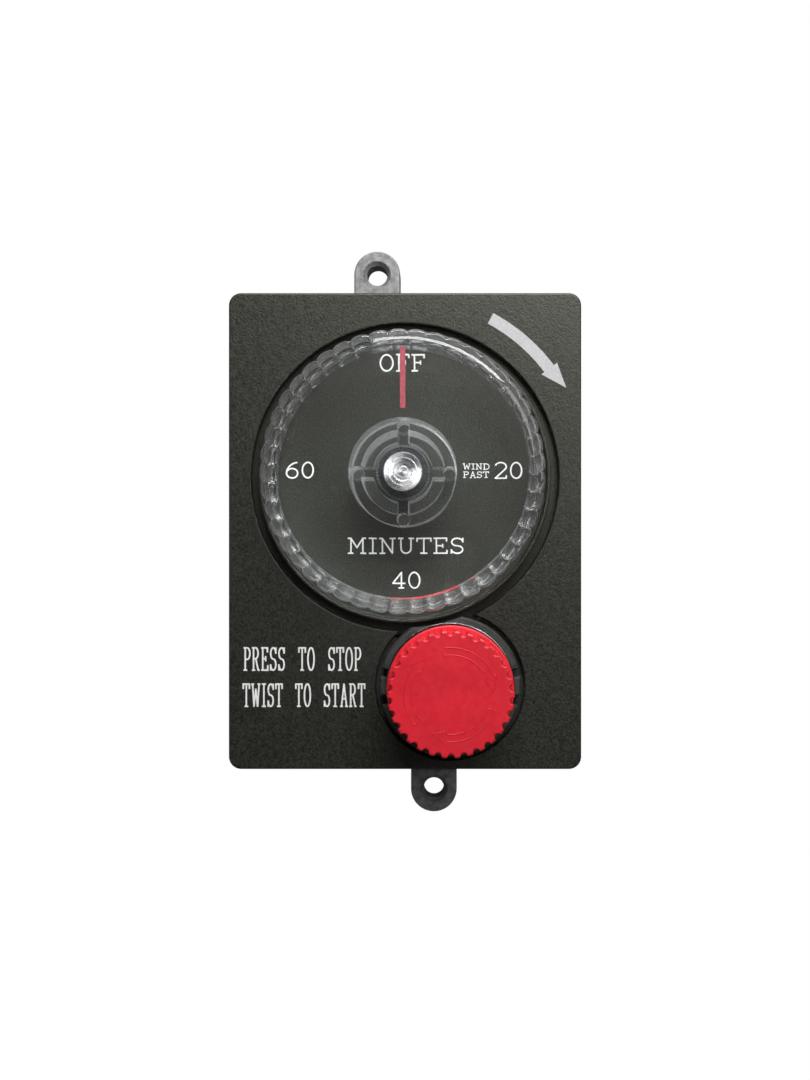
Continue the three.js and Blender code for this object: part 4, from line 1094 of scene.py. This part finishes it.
GLYPHS = {
    " ": (2.6, []),
    "O": (4.6, [bow(2.3, 3.5, 2.1, 3.5, 0, 360, 40)]),
    "0": (4.2, [bow(2.1, 3.5, 1.8, 3.5, 0, 360, 40)]),
    "F": (4.2, [
        [(0.8, 0), (0.8, 7)], [(0, 7), (4, 7), (4, 5.7)], [(0.8, 3.6), (2.8, 3.6)],
        [(2.8, 2.9), (2.8, 4.3)], serif(0.9, 0, 0.9),
    ]),
    "E": (4.4, [
        [(0.8, 0), (0.8, 7)], [(0, 7), (4, 7), (4, 5.7)], [(0, 0), (4.2, 0), (4.2, 1.4)],
        [(0.8, 3.6), (2.8, 3.6)], [(2.8, 2.9), (2.8, 4.3)],
    ]),
    "M": (5.6, [
        [(0.9, 0), (0.9, 7), (2.8, 2.6), (4.7, 7), (4.7, 0)],
        [(0, 7), (0.9, 7)], [(4.7, 7), (5.6, 7)], serif(0.8, 0), serif(4.8, 0),
    ]),
    "I": (2.6, [[(1.3, 0), (1.3, 7)], serif(1.3, 0, 1.1), serif(1.3, 7, 1.1)]),
    "N": (5.0, [
        [(0.9, 0), (0.9, 7), (4.1, 0), (4.1, 7)],
        [(0, 7), (0.9, 7)], serif(0.9, 0, 0.8), serif(4.1, 7, 0.8),
    ]),
    "U": (5.0, [
        [(0.9, 7), (0.9, 2.2)], bow(2.5, 2.2, 1.6, 2.2, 180, 360), [(4.1, 2.2), (4.1, 7)],
        serif(0.8, 7), serif(4.2, 7),
    ]),
    "T": (4.6, [
        [(2.3, 0), (2.3, 7)], [(0.1, 5.6), (0.1, 7), (4.5, 7), (4.5, 5.6)], serif(2.3, 0, 1),
    ]),
    "S": (4.2, [
        bow(2.1, 5.25, 1.75, 1.75, 20, 270), bow(2.1, 1.75, 1.75, 1.75, 90, -160),
        [(3.85, 7), (3.85, 5.3)], [(0.3, 0), (0.3, 1.7)],
    ]),
    "P": (4.2, [
        [(0.8, 0), (0.8, 7)], [(0, 7), (2.2, 7)], bow(2.2, 5.2, 1.8, 1.8, 90, -90),
        [(2.2, 3.4), (0.8, 3.4)], serif(0.9, 0, 0.9),
    ]),
    "R": (4.8, [
        [(0.8, 0), (0.8, 7)], [(0, 7), (2.2, 7)], bow(2.2, 5.3, 1.7, 1.7, 90, -90),
        [(2.2, 3.6), (0.8, 3.6)], [(2.3, 3.6), (4.0, 0), (4.7, 0)], serif(0.8, 0, 0.8),
    ]),
    "A": (5.0, [
        [(0.7, 0), (2.5, 7), (4.3, 0)], [(1.3, 2.4), (3.7, 2.4)],
        serif(0.7, 0, 0.7), serif(4.3, 0, 0.7),
    ]),
    "W": (6.0, [
        [(0.7, 7), (1.7, 0), (3.0, 5.4), (4.3, 0), (5.3, 7)],
        serif(0.7, 7, 0.7), serif(5.3, 7, 0.7),
    ]),
    "D": (4.8, [
        [(0.8, 0), (0.8, 7)], [(0, 7), (2.0, 7)], bow(2.0, 3.5, 2.4, 3.5, 90, -90, 28),
        [(2.0, 0), (0, 0)],
    ]),
    "2": (4.2, [
        bow(2.1, 5.2, 1.8, 1.8, 160, -35), [(3.57, 4.17), (0.3, 0), (3.9, 0), (3.9, 1.1)],
    ]),
    "4": (4.4, [[(3.0, 0), (3.0, 7), (0.2, 2.0), (4.2, 2.0)], serif(3.0, 0, 0.8)]),
    "6": (4.2, [bow(2.1, 2.1, 1.8, 2.1, 0, 360, 32), bow(4.4, 2.1, 4.1, 4.9, 180, 100)]),
}
GLYPH_HEIGHT = 7.0
LETTER_GAP = 0.9
LEGEND_GAP = 1.5
INK_SINK, INK_RISE = 0.02, 0.05
NUMBER_STROKE, LEGEND_STROKE, SMALL_STROKE = 0.47, 0.52, 0.24
# A name, its text, its box (left, right, bottom, top) from the dial's axis, and its stroke's width.
DIAL_LEGENDS = (
    ("print_off", "OFF", -8.2, 6.4, 34.2, 39.9, 0.5),
    ("print_60", "60", -38.6, -29.4, -0.4, 5.1, NUMBER_STROKE),
    ("print_20", "20", 28.9, 38.0, -0.5, 5.0, NUMBER_STROKE),
    ("print_40", "40", -4.1, 5.0, -36.0, -30.5, NUMBER_STROKE),
    ("print_minutes", "MINUTES", -18.4, 19.0, -24.8, -19.5, NUMBER_STROKE),
    ("print_wind", "WIND", 18.7, 27.3, 2.5, 4.5, SMALL_STROKE),
    ("print_past", "PAST", 18.9, 27.1, -0.2, 1.9, SMALL_STROKE),
)


def ribbon(points, half):
    """The quads of a stroke with square ends that run half its width past its points."""
    quads = []
    for a, b in zip(points, points[1:]):
        run = Vector(b) - Vector(a)
        if run.length < 1e-6:
            continue
        ahead = run.normalized() * half
        side = Vector((-ahead.y, ahead.x))
        start, end = Vector(a) - ahead * 0.6, Vector(b) + ahead * 0.6
        quads.append([start + side, start - side, end - side, end + side])
    return quads


def inked(name, quads, back, front):
    """Quads in the plate's plane, merged into one flat shape and given the thickness of ink."""
    flat = []
    faces = []
    for quad in quads:
        faces.append(list(range(len(flat), len(flat) + len(quad))))
        flat += [Vector(p) for p in quad]
    verts, _, triangles, _, _, sources = delaunay_2d_cdt(flat, [], faces, 1, 1e-5)
    made = bmesh.new()
    corners = [made.verts.new((v.x * MM, -front * MM, v.y * MM)) for v in verts]
    for triangle, source in zip(triangles, sources):
        if source:
            made.faces.new([corners[i] for i in triangle])
    pushed = bmesh.ops.extrude_face_region(made, geom=made.faces[:])
    moved = [v for v in pushed["geom"] if isinstance(v, bmesh.types.BMVert)]
    bmesh.ops.translate(made, verts=moved, vec=(0, (front - back) * MM, 0))
    bmesh.ops.recalc_face_normals(made, faces=made.faces)
    mesh = bpy.data.meshes.new(name)
    made.to_mesh(mesh)
    made.free()
    return linked(name, mesh)


def printed(name, text, left, right, bottom, top, face, weight, gap=LETTER_GAP):
    """Text that fills a box on a face at this depth. weight is the stroke's width in millimetres."""
    total = sum(GLYPHS[c][0] for c in text) + gap * (len(text) - 1)
    across = (right - left) / total
    up = (top - bottom - weight) / GLYPH_HEIGHT
    quads = []
    x = 0.0
    for character in text:
        width, strokes = GLYPHS[character]
        for stroke in strokes:
            placed = [(left + (x + px) * across, bottom + weight / 2 + py * up) for px, py in stroke]
            quads += ribbon(placed, weight / 2)
        x += width + gap
    legend = inked(name, quads, face - INK_SINK, face + INK_RISE)
    return settle(legend, "housing", None, WHITE_INK)


def winding_arrow():
    """The curved arrow on the plate that shows which way to wind."""
    middle, half, steps = 58.3, 1.9, 24
    inner, outer = middle - half, middle + half
    start, end, tip = (math.radians(90 - a) for a in (28.3, 53.0, 61.0))
    quads = []
    for i in range(steps):
        a = start + (end - start) * i / steps
        b = start + (end - start) * (i + 1) / steps
        corners = ((inner, a), (outer, a), (outer, b), (inner, b))
        quads.append([Vector(polar(r, angle, DIAL_AXIS)) for r, angle in corners])
    corners = ((inner - 1.2, end), (outer + 1.3, end), (middle + 1.3, tip))
    quads.append([Vector(polar(r, angle, DIAL_AXIS)) for r, angle in corners])
    arrow = inked("winding_arrow", quads, PLATE.front - INK_SINK, PLATE.front + INK_RISE)
    return settle(arrow, "housing", None, GREY_INK)


def dial_print():
    x, z = DIAL_AXIS
    for name, text, left, right, bottom, top, stroke in DIAL_LEGENDS:
        printed(name, text, x + left, x + right, z + bottom, z + top, CUP_FACE, stroke)


def plate_print():
    """Two lines at the plate's lower left, placed from the plate's middle."""
    look = (PLATE.front, LEGEND_STROKE, LEGEND_GAP)
    printed("print_press", "PRESS  TO  STOP", -52.0, -14.3, -45.2, -37.5, *look)
    printed("print_twist", "TWIST  TO  START", -52.3, -13.0, -56.9, -49.2, *look)


# ---- the CAD nodes that stay
def better_looks():
    """Each CAD node that isn't replaced keeps its shape and takes its slot's material."""
    for name, node in frame["nodes"].items():
        if node.hide_render:
            continue
        node.data.materials.clear()
        node.data.materials.append(MATERIALS[NODE_SLOTS[name]])


# ---- stage
CAMERA_DISTANCE = 0.382
CAMERA_SIDE = (0.0115, -0.0113)
FRAME_HEIGHT = 0.349
FRAME_CENTRE = (0.0, -0.0029)
SENSOR = 36.0
FLOOR = -200.0
FLOOR_REACH = 900
SURROUND_LIGHT = 0.05


def camera():
    data = bpy.data.cameras.new("camera")
    data.sensor_width = SENSOR
    data.lens = SENSOR * CAMERA_DISTANCE / FRAME_HEIGHT
    data.shift_x = (FRAME_CENTRE[0] - CAMERA_SIDE[0]) / FRAME_HEIGHT
    data.shift_y = (FRAME_CENTRE[1] - CAMERA_SIDE[1]) / FRAME_HEIGHT
    data.clip_start = 0.01
    obj = linked("camera", data)
    obj.location = (CAMERA_SIDE[0], -PLATE.front * MM - CAMERA_DISTANCE, CAMERA_SIDE[1])
    obj.rotation_euler = (math.pi / 2, 0, 0)
    bpy.context.scene.camera = obj


def softbox(name, place, target, size, power):
    data = bpy.data.lights.new(name, "AREA")
    data.shape = "RECTANGLE"
    data.size, data.size_y = size
    data.energy = power
    obj = linked(name, data)
    obj.location = place
    obj.rotation_euler = (Vector(target) - Vector(place)).to_track_quat("-Z", "Y").to_euler()


def white_floor():
    """A pale floor that the camera sees as white as the surround, so that no horizon shows."""
    shader = Shader("pale_floor", (0.12, 0.12, 0.12), 0.8)
    bright = shader.nodes.new("ShaderNodeEmission")
    usual = shader.principled.outputs["BSDF"]
    tree = shader.material.node_tree
    split_by_ray(tree, "Is Camera Ray", bright.outputs["Emission"], usual, "Material Output")
    return shader.material


def studio():
    """A pale floor and a white surround that lights the object only a little."""
    world = bpy.data.worlds.new("surround")
    bpy.context.scene.world = world
    world.use_nodes = True
    tree = world.node_tree
    seen = tree.nodes["Background"]
    lit = tree.nodes.new("ShaderNodeBackground")
    for background in (seen, lit):
        background.inputs["Color"].default_value = (1, 1, 1, 1)
    lit.inputs["Strength"].default_value = SURROUND_LIGHT
    outputs = seen.outputs["Background"], lit.outputs["Background"]
    split_by_ray(tree, "Is Camera Ray", *outputs, "World Output")

    signs = ((-1, 1), (1, 1), (1, -1), (-1, -1))
    corners = [(FLOOR_REACH * i, FLOOR_REACH * k, FLOOR) for i, k in signs]
    floor = mesh_object("floor", corners, [(0, 1, 2, 3)])
    floor.data.materials.append(white_floor())
    softbox("key_light", (0.115, -0.50, 0.46), (0, 0, 0), (0.46, 0.24), 5.2)
    softbox("top_light", (0.06, -0.16, 0.62), (0, 0, 0.02), (0.5, 0.2), 1.6)
    softbox("front_light", (0.27, -0.60, 0.20), (0, 0, -0.03), (0.3, 0.3), 0.8)
    bpy.context.scene.view_settings.view_transform = "Standard"


camera()
studio()
face_plate()
dial_cup()
dial_knob()
pointer()
knob_insert()
stop_head()
for number in range(3):
    turn_arrow(number)
stop_collar()
ring_nut()
coil_spring("estop_return_spring", "return_coil", 6, 0.5)
coil_spring("timer_valve_spring", "valve_coil", 3, 0.4)
casting()
gasket_and_cover()
screws()
adapter("inlet_adapter", "inlet_bushing", *INLET)
adapter("outlet_adapter", "outlet_bushing", *OUTLET)
dial_print()
plate_print()
winding_arrow()
better_looks()
